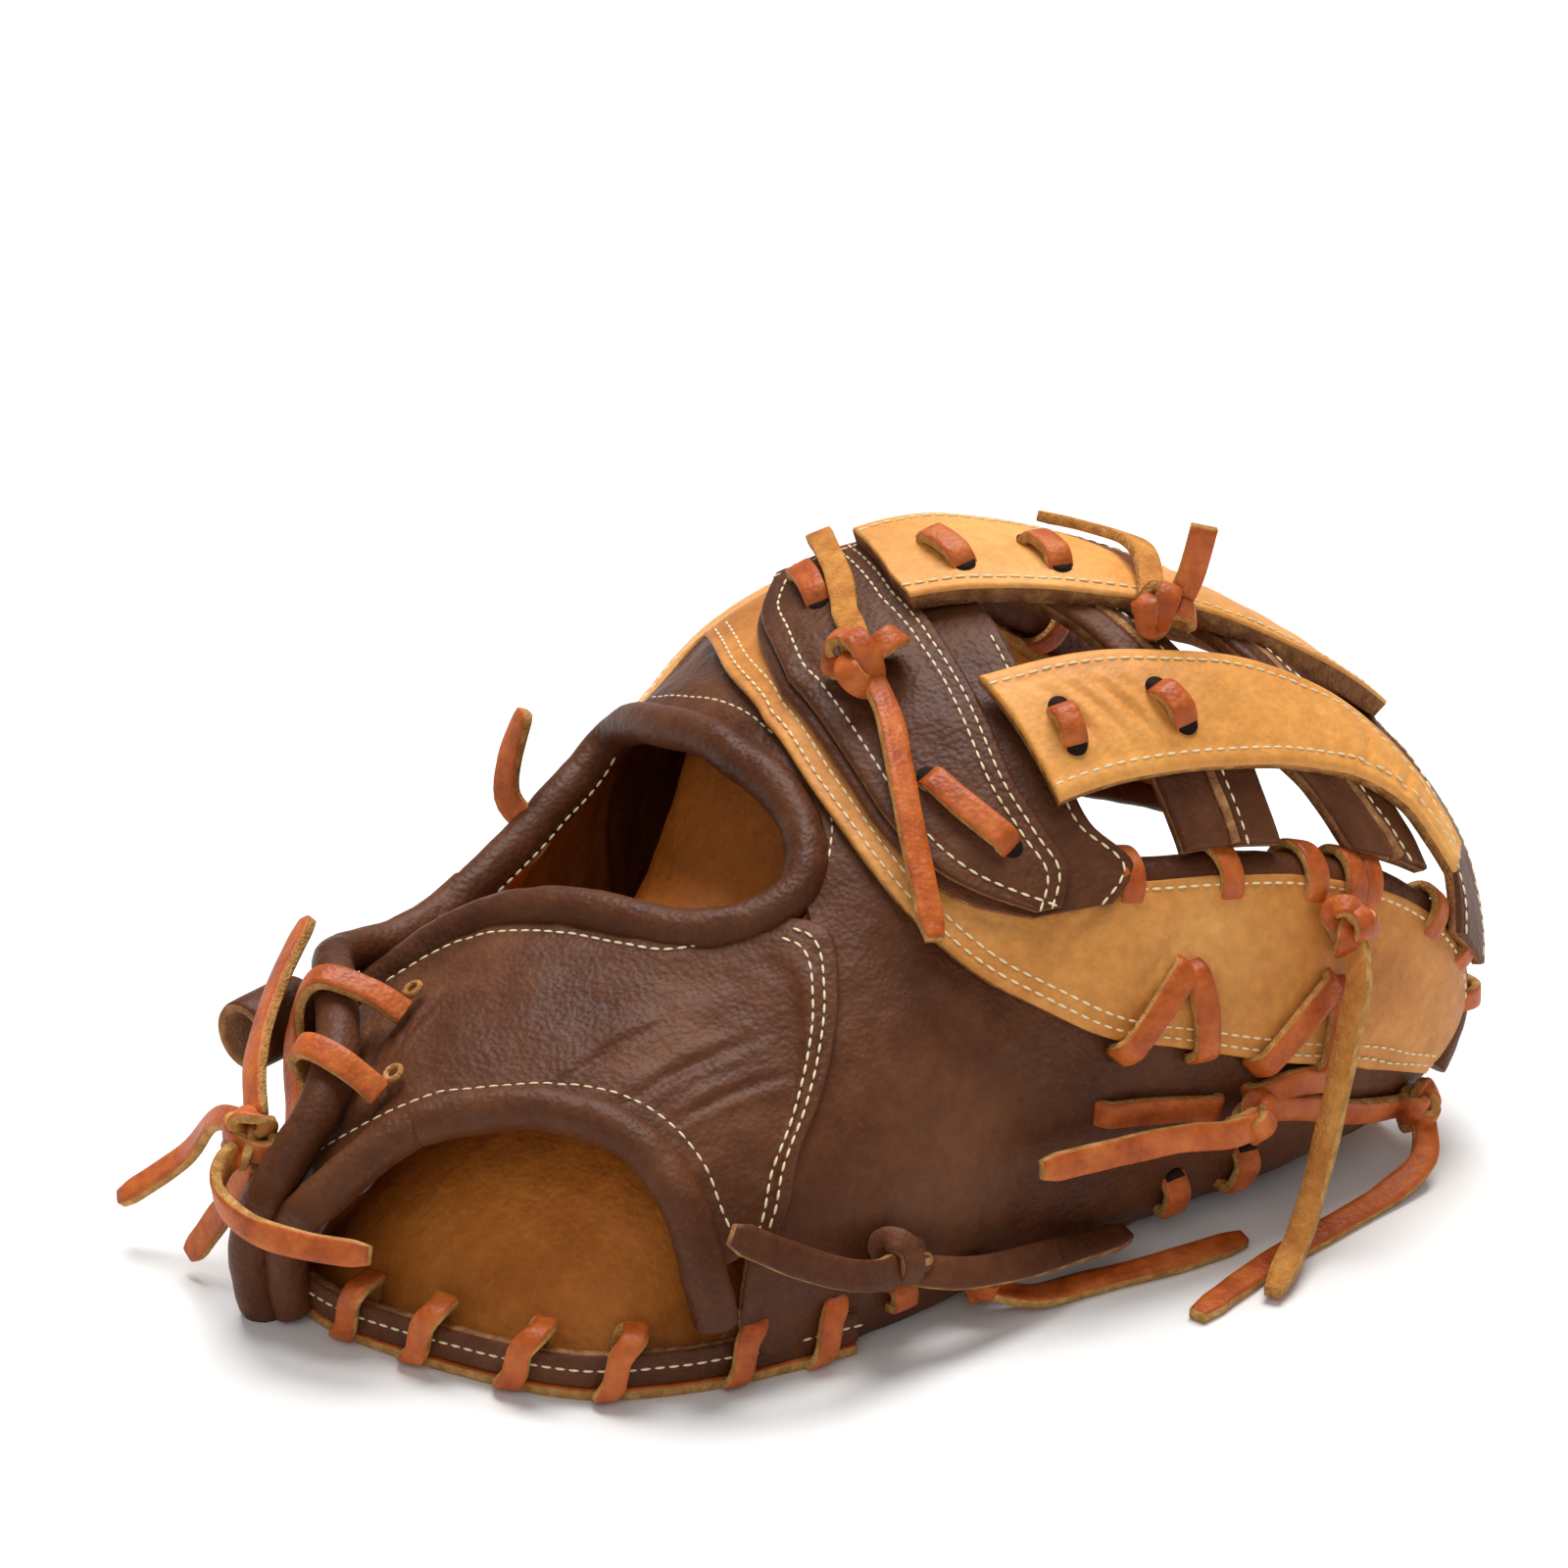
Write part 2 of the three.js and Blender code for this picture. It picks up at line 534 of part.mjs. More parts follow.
const weltSquareness = 0.5;
function heelWelt(grow = 0) {
  const path = alongRim(17, clearance + weltWall / 2, weltLift + weltHeight / 2);
  return sweep({ ...path, width: weltHeight + 2 * grow, wall: weltWall + 2 * grow, square: weltSquareness });
}

const wrapPoints = 8;
const heelLacePlaces = [0.11, 0.23, 0.375, 0.5, 0.63, 0.75];
function heelLace(grow = 0) {
  const runHeight = clearance + laceWall / 2;
  const run = alongRim(16, clearance + laceWidth / 2, runHeight);
  run.ups = run.ups.map(() => new THREE.Vector3(0, 0, 1));
  const reach = weltWall / 2 + laceWall / 2 + laceSlack;
  const tall = (weltHeight + weltLift) / 2 + laceWall / 2;
  const middle = runHeight + tall;
  const wraps = heelLacePlaces.map((share) => {
    const { centre, outward } = rimPath(share, clearance + weltWall / 2, 0);
    const centres = [];
    const ups = [];
    for (let k = 0; k < wrapPoints; k += 1) {
      const turn = ((k + 0.5) / wrapPoints) * 2 * Math.PI;
      const out = reach * (Math.cos(turn) < 0 ? 1.5 : 1) * Math.sign(Math.cos(turn)) * Math.abs(Math.cos(turn)) ** 0.4;
      const height = middle + tall * Math.sign(Math.sin(turn)) * Math.abs(Math.sin(turn)) ** 0.4;
      centres.push(centre.clone().addScaledVector(outward, out).setZ(height));
      ups.push(outward.clone().multiplyScalar(Math.cos(turn)).setZ(Math.sin(turn)));
    }
    return strip({ centres, ups, closed: true }, grow);
  });
  return joined([strip(run, grow, laceWidth * 0.6), ...wraps]);
}

// Lace whipped over a roll: rings at chosen places, joined by a run along the roll's inner side
function whippedLace(edge, places, lift, radius, grow) {
  const rows = edge.map(([u, v]) => [u, v, lift]);
  const around = radius + laceSlack + laceWall / 2;
  const centreAt = (share) => {
    const [u, v] = evenRow(rows, share);
    return lifted(u, v, lift);
  };
  const rings = places.map((share) => {
    const [u, v] = evenRow(rows, share);
    const centre = centreAt(share);
    const up = skinNormal(u, v);
    const along = centreAt(Math.min(share + 0.02, 1)).sub(centreAt(Math.max(share - 0.02, 0))).normalize();
    const side = new THREE.Vector3().crossVectors(along, up).normalize();
    const centres = [];
    const ups = [];
    for (let k = 0; k < wrapPoints; k += 1) {
      const turn = (k / wrapPoints) * 2 * Math.PI;
      const spoke = side.clone().multiplyScalar(Math.cos(turn)).addScaledVector(up, Math.sin(turn));
      centres.push(centre.clone().addScaledVector(spoke, around));
      ups.push(spoke);
    }
    return strip({ centres, ups, closed: true }, grow);
  });
  const first = places[0];
  const last = places[places.length - 1];
  const steps = 10;
  const run = { centres: [], ups: [] };
  for (let i = 0; i <= steps; i += 1) {
    const [u, v] = evenRow(rows, THREE.MathUtils.lerp(first, last, i / steps));
    run.centres.push(lifted(u, v, lift - around));
    run.ups.push(skinNormal(u, v));
  }
  return joined([strip(run, grow, laceWidth * 0.6), ...rings]);
}

const thumbLacePlaces = [0.22, 0.4, 0.5, 0.62, 0.7, 0.8];
const thumbLace = (grow = 0) => whippedLace(thumbWebEdge, thumbLacePlaces, thumbRollLift, thumbRollRadius, grow);
const fingerLacePlaces = [0.24, 0.4, 0.56, 0.7];
const fingerLace = (grow = 0) => whippedLace(fingerWebEdge, fingerLacePlaces, fingerRollLift, fingerRollRadius, grow);

// Lace that lies on the leather: over names the layer that it lies on, and its rows are u, v and
// a lift above lying flat there.
const laceRest = clearance + layerGap / 4 + laceWall / 2;
function lying(over, rows, steps = 4) {
  return skinPath(rows.map(([u, v, rise = 0]) => [u, v, over + laceRest + rise]), steps);
}

const knotRest = clearance + 0.1;
function knotAt(centre, normal, [wide, long, tall], grow) {
  const facing = new THREE.Matrix4().lookAt(normal, new THREE.Vector3(), new THREE.Vector3(1, 0, 0));
  const geometry = new THREE.SphereGeometry(1, 8, 6).scale(wide + grow, long + grow, tall + grow);
  return geometry.applyMatrix4(facing).translate(centre.x, centre.y, centre.z);
}

function knot(over, u, v, radii, grow = 0) {
  return knotAt(lifted(u, v, over + knotRest + radii[2]), skinNormal(u, v), radii, grow);
}

const shortLaces = {
  web_lace_upper: [basePanel.high, [[0.523, 0.143], [0.507, 0.104], [0.49, 0.069]]],
  web_lace_lower: [basePanel.high, [[0.404, -0.2], [0.403, -0.26], [0.408, -0.325]]],
  post_lace_near_1: [postLayer.high, [[0.494, -0.23], [0.489, -0.25], [0.482, -0.275]]],
  post_lace_near_2: [postLayer.high, [[0.555, -0.262, -1.7], [0.555, -0.285, -1.7], [0.553, -0.312, -1.7]]],
  post_lace_far_1: [postLayer.high, [[0.562, 0.02, -0.6], [0.558, -0.005, -0.6], [0.55, -0.037, -0.6]]],
  post_lace_far_2: [postLayer.high, [[0.6, -0.035, -1.5], [0.596, -0.06, -1.5], [0.588, -0.09, -1.5]]],
  cross_lace_1: [0, [[0.005, 0.4, 1], [0.04, 0.42, 2], [0.08, 0.4, 8], [0.096, 0.31, 14.5], [0.1, 0.24, 8],
    [0.1, 0.19, 0]]],
  cross_lace_2: [0, [[0.05, 0.35, 5], [0.048, 0.31, 11], [0.045, 0.255, 13], [0.04, 0.19, 9], [0.036, 0.13, 0]]],
  rim_lace_1: [0, [[0.235, -0.8], [0.237, -0.84], [0.238, -0.87]]],
  rim_lace_2: [0, [[0.47, -0.81], [0.474, -0.85], [0.478, -0.885]]],
  rim_lace_3: [0, [[0.53, -0.8], [0.53, -0.84], [0.53, -0.875]]],
};

// One lace runs along the thumb: two V stitches through the overlay, both joined to the long side
// run below them, and the knot that ends it.
const sideDrop = -overlay.high;
const sideRuns = [
  [[0.487, -0.54], [0.45, -0.58], [0.418, -0.635, -0.2], [0.41, -0.675, sideDrop]],
  [[0.487, -0.54], [0.478, -0.59], [0.468, -0.655, -0.2], [0.463, -0.7, sideDrop]],
  [[0.587, -0.6], [0.555, -0.64], [0.525, -0.69, -0.2], [0.512, -0.722, sideDrop]],
  [[0.587, -0.6], [0.578, -0.64], [0.57, -0.705, -0.2], [0.567, -0.73, sideDrop]],
  [[0.398, -0.67, sideDrop], [0.455, -0.698, sideDrop], [0.513, -0.722, sideDrop], [0.58, -0.735, sideDrop],
    [0.635, -0.78, sideDrop], [0.68, -0.81, sideDrop]],
];
const sideKnot = (grow) => knot(laceWall, 0.512, -0.722, [6, 5, 4], grow);
function sideLace() {
  const runs = sideRuns.map((rows) => strip(lying(overlay.high, rows, rows.length > 4 ? 7 : 4)));
  return joined([...runs, sideKnot(), tipKnot()]);
}

const tipKnot = (grow) => knot(0, 0.69, -0.81, [6, 6, 4.5], grow);
const thumbKnot = (grow) => knot(overlay.high, 0.602, -0.56, [knotRadius, knotRadius, 0.75 * knotRadius], grow);
const tieKnot = (grow) => knot(0, 0.22, -0.742, [7, 8, 5], grow);
const rimKnot = (grow) => knot(0, 0.3, -0.85, [5, 5, 4], grow);

const pretzel = (grow) => knot(basePanel.high, 0.443, -0.06, [7, 8, 5], grow);
function webKnot() {
  const feedRows = [[0.562, 0.162], [0.535, 0.112, 0.4], [0.503, 0.05, 0.6], [0.45, -0.045, 2]];
  return joined([strip(lying(basePanel.high, feedRows, 6)), pretzel()]);
}

const stubTall = 13;
function crownLace() {
  const seat = lifted(0.6, -0.19, rungLayer.high);
  const stub = { centres: [], ups: [] };
  for (let i = 0; i <= 2; i += 1) {
    stub.centres.push(seat.clone().add(new THREE.Vector3(2 * i, -i, knotRadius + (i * stubTall) / 2)));
    stub.ups.push(new THREE.Vector3(-0.68, -0.57, 0));
  }
  const archRows = [[0.66, 0.03, -1.6], [0.66, -0.04, -0.6], [0.635, -0.11, 0.6], [0.605, -0.17, -2.4]];
  const arch = strip(lying(postLayer.high, archRows, 6));
  return joined([arch, knot(rungLayer.high, 0.6, -0.19, [6.5, 7, 5.5]), strip(stub)]);
}

const wristKnotCentre = new THREE.Vector3(-7, 35, 40.5);
const wristKnot = (grow = 0) => knotAt(wristKnotCentre, new THREE.Vector3(0, 1, 0), [6, 7, 6.5], grow);

// Free ends, as points in millimetres before the origin is set: each keeps its length and place.
// It comes out of a knot or roll, which cuts it, and its flat side turns from the first of its
// two directions to the last.
const freeEnds = {
  web_tail: [[127, -25, 124], [121, -37, 117.5], [112, -48, 109.5], [104, -58, 100], [93, -73, 84.5]],
  side_tail: [[151, -119, 31.5], [141, -117.5, 32.5], [128, -111.5, 34.5], [98, -99, 35.5]],
  tip_tail: [[207, -126, 13], [200, -131.5, 6.5], [188, -131, 2.8], [170, -129.5, 2], [146, -127.5, 1.8],
    [117, -128, 1.7]],
  thumb_tail: [[179, -122, 70], [174, -128, 61], [170, -128.5, 48], [165, -129, 33], [160, -129, 18],
    [151, -131, 7.5], [134, -136, 2.4]],
  tie_tail_wrist: [[64, -88, 23.5], [54, -90, 26], [45, -87.5, 29.5], [35, -82, 35.5], [25, -74, 43]],
  tie_tail_tip: [[65, -88.5, 22], [76, -94, 18], [90, -97, 14.5], [108, -99, 11], [126, -102, 8.5]],
  rim_tail: [[89, -91, 7.5], [98, -97.5, 3.6], [111, -101.5, 2.1], [130, -110, 2], [150, -117, 2]],
  wrist_tail_up: [[-6, 34, 45], [4, 44, 52], [21, 54.5, 59], [38, 61, 67]],
  wrist_tail_out: [[-7, 37, 43], [-3, 50, 38], [-2, 62, 24], [-9, 76, 11]],
  wrist_tail_down: [[-7, 36, 36], [-7, 39, 28], [-7, 47, 16], [-9, 54, 5]],
  wrist_tail_across: [[-8, 35, 39], [-15, 35.5, 37], [-21, 31, 34], [-23, 20, 31], [-20, 7, 30], [-14, -7, 30]],
  back_end: [[102, 52.5, 69.5], [101, 58.5, 75], [103, 59.5, 84], [107, 58, 95]],
};
const endTurns = {
  web_tail: [[-0.3, -0.7, 0.6], [-0.3, -0.7, 0.6]],
  side_tail: [[0, -1, 0.2], [0, -1, 0.2]],
  tip_tail: [[0, -0.5, 1], [0, 0, 1]],
  thumb_tail: [[0, -0.95, 0.3], [0, 0, 1]],
  tie_tail_wrist: [[-0.2, -0.9, 0.4], [-0.2, -0.9, 0.4]],
  tie_tail_tip: [[0, -0.9, 0.4], [0, -0.3, 1]],
  rim_tail: [[0, -0.2, 1], [0, -0.2, 1]],
  wrist_tail_up: [[-0.7, 0.4, 0.6], [-0.7, 0.4, 0.6]],
  wrist_tail_out: [[-0.5, 0, 0.8], [-0.5, 0, 0.8]],
  wrist_tail_down: [[-0.9, 0, 0.4], [-0.9, 0, 0.4]],
  wrist_tail_across: [[0, 1, 0], [-0.9, -0.1, 0.3]],
  back_end: [[-0.8, -0.4, 0.3], [-0.8, 0.4, 0.3]],
};
const endSources = {
  web_tail: pretzel,
  side_tail: sideKnot,
  tip_tail: tipKnot,
  thumb_tail: thumbKnot,
  tie_tail_wrist: tieKnot,
  tie_tail_tip: tieKnot,
  rim_tail: rimKnot,
  wrist_tail_up: wristKnot,
  wrist_tail_out: wristKnot,
  wrist_tail_down: wristKnot,
  wrist_tail_across: wristKnot,
  back_end: openingRoll,
};
function freeEnd(name, width = laceWidth, wall = laceWall) {
  const steps = freeEnds[name].length + 1;
  const [first, last] = endTurns[name].map((turn) => new THREE.Vector3(...turn));
  const centres = [];
  const ups = [];
  for (let i = 0; i <= steps; i += 1) {
    centres.push(new THREE.Vector3(...evenRow(freeEnds[name], i / steps)));
    ups.push(first.clone().lerp(last, i / steps));
  }
  return cutBy(tail({ centres, ups }, width, wall), [endSources[name](clearance)]);
}

const tabLoop = { place: [26, 61.5, 46], long: 9, tall: 7 };
function loopTab() {
  const [x, y, z] = tabLoop.place;
  const centres = [];
  const ups = [];
  for (let k = 0; k < 10; k += 1) {
    const turn = (k / 10) * 2 * Math.PI;
    const spoke = new THREE.Vector3(0, Math.cos(turn), Math.sin(turn));
    centres.push(new THREE.Vector3(x, y + tabLoop.tall * spoke.y, z + tabLoop.tall * spoke.z));
    ups.push(spoke);
  }
  return strip({ centres, ups, closed: true }, 0, 2 * tabLoop.long, tabWall);
}

// The object
const mitt = new THREE.Group();
const outline = new THREE.Box3();
function add(name, geometry, look) {
  const mesh = new THREE.Mesh(geometry, new THREE.MeshStandardMaterial(look));
  mesh.name = name;
  mitt.add(mesh);
  if (!(name in freeEnds)) outline.expandByObject(mesh);
}

const gap = clearance;
const palmGap = 3 * clearance;
const laceReach = thumbRollRadius + laceSlack + laceWall + 2 * clearance;
const laceRoom = laceReach / Math.cos(Math.PI / rollSides) - thumbRollRadius;
const thumbBackBlank = (grow = 0) => panel({ rows: thumbBackRows, along: 22, across: 6, ...back, grow });
const strapBlank = (grow = 0) => panel({ rows: strapRows, along: 20, across: 3, ...back, grow });
const fingerSideBlank = (grow = 0) => panel({ rows: fingerSideRows, along: 5, across: 7, ...back, grow });
const overlayBlank = () => panel({ rows: overlayRows, along: 20, across: 3, ...overlay });
const fingerBackBlank = (grow = 0) => panel({ rows: fingerBackRows, along: 16, across: 7, ...back, grow });

add("palm_shell", palmShell([notchCutter(), thumbBackBlank(palmGap), fingerSideBlank(palmGap),
  fingerBackBlank(palmGap), heelLace(gap), thumbRoll(laceRoom), fingerRoll(laceRoom)]), liningLeather);
add("thumb_back", cutBy(thumbBackBlank(), [openingRoll(gap), wristRoll(gap), thumbRoll(laceRoom), heelWelt(gap),
  heelLace(gap)]), brownLeather);
add("wrist_strap", cutBy(strapBlank(), [openingRoll(gap), wristRoll(gap), thumbBackBlank(gap)]), brownLeather);
add("finger_side", cutBy(fingerSideBlank(), [openingRoll(gap), wristRoll(gap)]), brownLeather);
add("finger_back", cutBy(fingerBackBlank(), [openingRoll(gap), fingerRoll(laceRoom)]), tanLeather);
add("overlay_panel", cutBy(overlayBlank(), [thumbRoll(laceRoom)]), tanLeather);
add("web_base_panel", panel({ rows: basePanelRows, along: 14, across: 5, ...basePanel }), brownLeather);
add("web_post_near", panel({ rows: nearPostRows, along: 14, across: 3, ...postLayer }), tanLeather);
add("web_post_far", panel({ rows: farPostRows, along: 12, across: 4, ...postLayer }), tanLeather);
for (const [name, rows] of Object.entries(rungRows)) {
  const blank = panel({ rows, along: 4, across: 3, ...rungLayer });
  add(name, cutBy(blank, [thumbLace(gap), fingerLace(gap)]), brownLeather);
}
const tipStrapBlank = () => panel({ rows: tipStrapRows, along: 12, across: 2, ...tipStrap });
add("web_tip_strap", cutBy(tipStrapBlank(), [thumbLace(gap)]), brownLeather);
add("opening_roll", openingRoll(), brownLeather);
add("wrist_roll", wristRoll(), brownLeather);
add("thumb_roll", thumbRoll(), brownLeather);
add("finger_roll", fingerRoll(), brownLeather);
add("side_roll", sideRoll(), brownLeather);
add("heel_welt", heelWelt(), brownLeather);
add("heel_lace", heelLace(), laceLeather);
add("thumb_lace", thumbLace(), laceLeather);
add("finger_lace", fingerLace(), laceLeather);
for (const [name, [over, rows]] of Object.entries(shortLaces)) {
  add(name, strip(lying(over, rows, rows.length > 3 ? 8 : 4)), laceLeather);
}
add("side_lace", sideLace(), laceLeather);
add("web_knot", webKnot(), laceLeather);
add("crown_lace", crownLace(), laceLeather);
add("thumb_knot", thumbKnot(), laceLeather);
add("rim_knot", rimKnot(), laceLeather);
add("tie_knot", tieKnot(), brownLeather);
add("wrist_knot", cutBy(wristKnot(), [sideRoll(gap)]), laceLeather);
add("loop_tab", loopTab(), brownLeather);
for (const name of Object.keys(freeEnds)) {
  const tie = name.startsWith("tie");
  add(name, tie ? freeEnd(name, tieWidth, tieWall) : freeEnd(name), tie ? brownLeather : laceLeather);
}

const middle = outline.getCenter(new THREE.Vector3());
mitt.position.set(-middle.x, -middle.y, -outline.min.z);
const model = new THREE.Group();
model.add(mitt);

export default model;
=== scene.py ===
import math

import bmesh
import bpy
import numpy as np
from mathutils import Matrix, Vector, noise


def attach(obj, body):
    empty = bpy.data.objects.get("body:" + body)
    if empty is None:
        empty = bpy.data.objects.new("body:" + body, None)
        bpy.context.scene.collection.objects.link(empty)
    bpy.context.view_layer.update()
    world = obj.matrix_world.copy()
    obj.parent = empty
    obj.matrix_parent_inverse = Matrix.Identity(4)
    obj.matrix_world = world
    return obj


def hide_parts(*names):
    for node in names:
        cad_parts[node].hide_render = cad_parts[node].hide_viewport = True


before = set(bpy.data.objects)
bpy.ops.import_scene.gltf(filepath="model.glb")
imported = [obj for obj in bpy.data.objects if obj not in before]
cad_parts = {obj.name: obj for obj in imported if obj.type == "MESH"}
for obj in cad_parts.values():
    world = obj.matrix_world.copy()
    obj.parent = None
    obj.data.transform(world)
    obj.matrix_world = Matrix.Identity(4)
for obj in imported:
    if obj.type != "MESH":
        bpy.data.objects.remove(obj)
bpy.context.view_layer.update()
mm = 0.001

# The mitt's skin: u runs along the mitt, v from the thumb's rim over the ridge to the finger's rim
mitt = {"length": 300 * mm, "width": 214 * mm, "height": 126 * mm, "shiftX": -138.52 * mm, "shiftY": 18.69 * mm,
        "widestAt": 0.72, "thumbFullness": 0.9, "fingerFullness": 1.05}

# station, ridge side, ridge height, thumb side, height, tuck, finger side, height, tuck
sectionRows = np.array([
    [-0.04, 0, 0.3, -0.2, 0.095, 0.01, 0.11, 0.11, 0.012],
    [0, 0, 0.365, -0.225, 0.11, 0.01, 0.165, 0.135, 0.016],
    [0.1, 0, 0.492, -0.327, 0.16, 0.018, 0.272, 0.19, 0.028],
    [0.2, 0, 0.603, -0.374, 0.206, 0.028, 0.3, 0.222, 0.037],
    [0.333, -0.01, 0.762, -0.425, 0.238, 0.047, 0.31, 0.254, 0.047],
    [0.467, -0.047, 0.92, -0.495, 0.254, 0.084, 0.346, 0.285, 0.056],
    [0.6, -0.084, 1, -0.556, 0.254, 0.112, 0.411, 0.302, 0.065],
    [0.733, -0.14, 0.85, -0.57, 0.238, 0.121, 0.43, 0.302, 0.075],
    [0.867, -0.168, 0.54, -0.463, 0.175, 0.093, 0.374, 0.238, 0.075],
    [1, -0.14, 0.11, -0.29, 0.05, 0.056, 0.206, 0.065, 0.056]])


def hermite(a, b, slopeA, slopeB, t):
    t2 = t * t
    t3 = t2 * t
    return (2 * t3 - 3 * t2 + 1) * a + (t3 - 2 * t2 + t) * slopeA + (3 * t2 - 2 * t3) * b + (t3 - t2) * slopeB


def keyedRow(rows, key):
    rows = np.asarray(rows, float)
    key = np.asarray(key, float)
    last = len(rows) - 1
    i = np.clip(np.searchsorted(rows[:, 0], key) - 1, 0, last - 1)
    before, here, there, after = rows[np.maximum(i - 1, 0)], rows[i], rows[i + 1], rows[np.minimum(i + 2, last)]
    span = (there[..., :1] - here[..., :1])
    t = (key[..., None] - here[..., :1]) / span
    slopeA = span * (there - before) / (there[..., :1] - before[..., :1])
    slopeB = span * (after - here) / (after[..., :1] - here[..., :1])
    return hermite(here, there, slopeA, slopeB, t)


def evenRow(rows, share):
    rows = np.asarray(rows, float)
    share = np.asarray(share, float)
    last = len(rows) - 1
    spot = share * last
    i = np.clip(np.floor(spot).astype(int), 0, last - 1)
    at = lambda j: rows[np.clip(j, 0, last)]
    slopeA = (at(i + 1) - at(i - 1)) / 2
    slopeB = (at(i + 2) - at(i)) / 2
    return hermite(at(i), at(i + 1), slopeA, slopeB, (spot - i)[..., None])


def skin(u, v):
    u, v = np.broadcast_arrays(np.asarray(u, float), np.asarray(v, float))
    s = keyedRow(sectionRows, u)
    thumb = v < 0
    ridgeY, ridgeZ = s[..., 1] * mitt["width"], s[..., 2] * mitt["height"]
    wide = np.where(thumb, s[..., 3], s[..., 6]) * mitt["width"]
    wideZ = np.where(thumb, s[..., 4], s[..., 7]) * mitt["height"]
    tuck = np.where(thumb, s[..., 5], -s[..., 8]) * mitt["width"]
    full = np.where(thumb, mitt["thumbFullness"], mitt["fingerFullness"])
    fromRidge = np.abs(v)
    turn = np.pi / 2 * np.clip(fromRidge / mitt["widestAt"], 0, 1)
    yUp = ridgeY + (wide - ridgeY) * np.sin(turn) ** full
    zUp = wideZ + (ridgeZ - wideZ) * np.maximum(np.cos(turn), 0) ** full
    under = np.pi / 2 * (fromRidge - mitt["widestAt"]) / (1 - mitt["widestAt"])
    yLow = wide + tuck * (1 - np.cos(under))
    zLow = wideZ * (1 - np.sin(under))
    high = fromRidge < mitt["widestAt"]
    return np.stack([u * mitt["length"] + mitt["shiftX"], np.where(high, yUp, yLow) + mitt["shiftY"],
                     np.where(high, zUp, zLow)], -1)


def smoothRise(share):
    share = np.clip(share, 0, 1)
    return share * share * (3 - 2 * share)


def unit(a):
    return a / np.maximum(np.linalg.norm(a, axis=-1, keepdims=True), 1e-12)


def skinNormal(u, v):
    u, v = np.asarray(u, float), np.asarray(v, float)
    along = skin(u + 0.002, v) - skin(u - 0.002, v)
    across = skin(u, v + 0.004) - skin(u, v - 0.004)
    return unit(np.cross(along, across))


def lifted(u, v, lift):
    return skin(u, v) + skinNormal(u, v) * np.asarray(lift, float)[..., None] * mm


def place(points):
    return np.asarray(points, float) * mm + np.array([mitt["shiftX"], mitt["shiftY"], 0])


# Nodes and finishes
def toLinear(code):
    parts = [int(code[i:i + 2], 16) / 255 for i in (1, 3, 5)]
    return tuple(c / 12.92 if c <= 0.04045 else ((c + 0.055) / 1.055) ** 2.4 for c in parts) + (1.0,)


def addNode(tree, kind, settings=None, links=None):
    node = tree.nodes.new(kind)
    for key, value in (settings or {}).items():
        if isinstance(key, str) and hasattr(node, key):
            setattr(node, key, value)
        else:
            node.inputs[key].default_value = value
    for key, source in (links or {}).items():
        tree.links.new(source, node.inputs[key])
    return node


def ramp(tree, source, stops):
    node = addNode(tree, "ShaderNodeValToRGB", links={"Fac": source})
    elements = node.color_ramp.elements
    for i, (at, colour) in enumerate(stops):
        element = elements[i] if i < 2 else elements.new(at)
        element.position = at
        element.color = toLinear(colour) if isinstance(colour, str) else (colour, colour, colour, 1)
    return node.outputs["Color"]


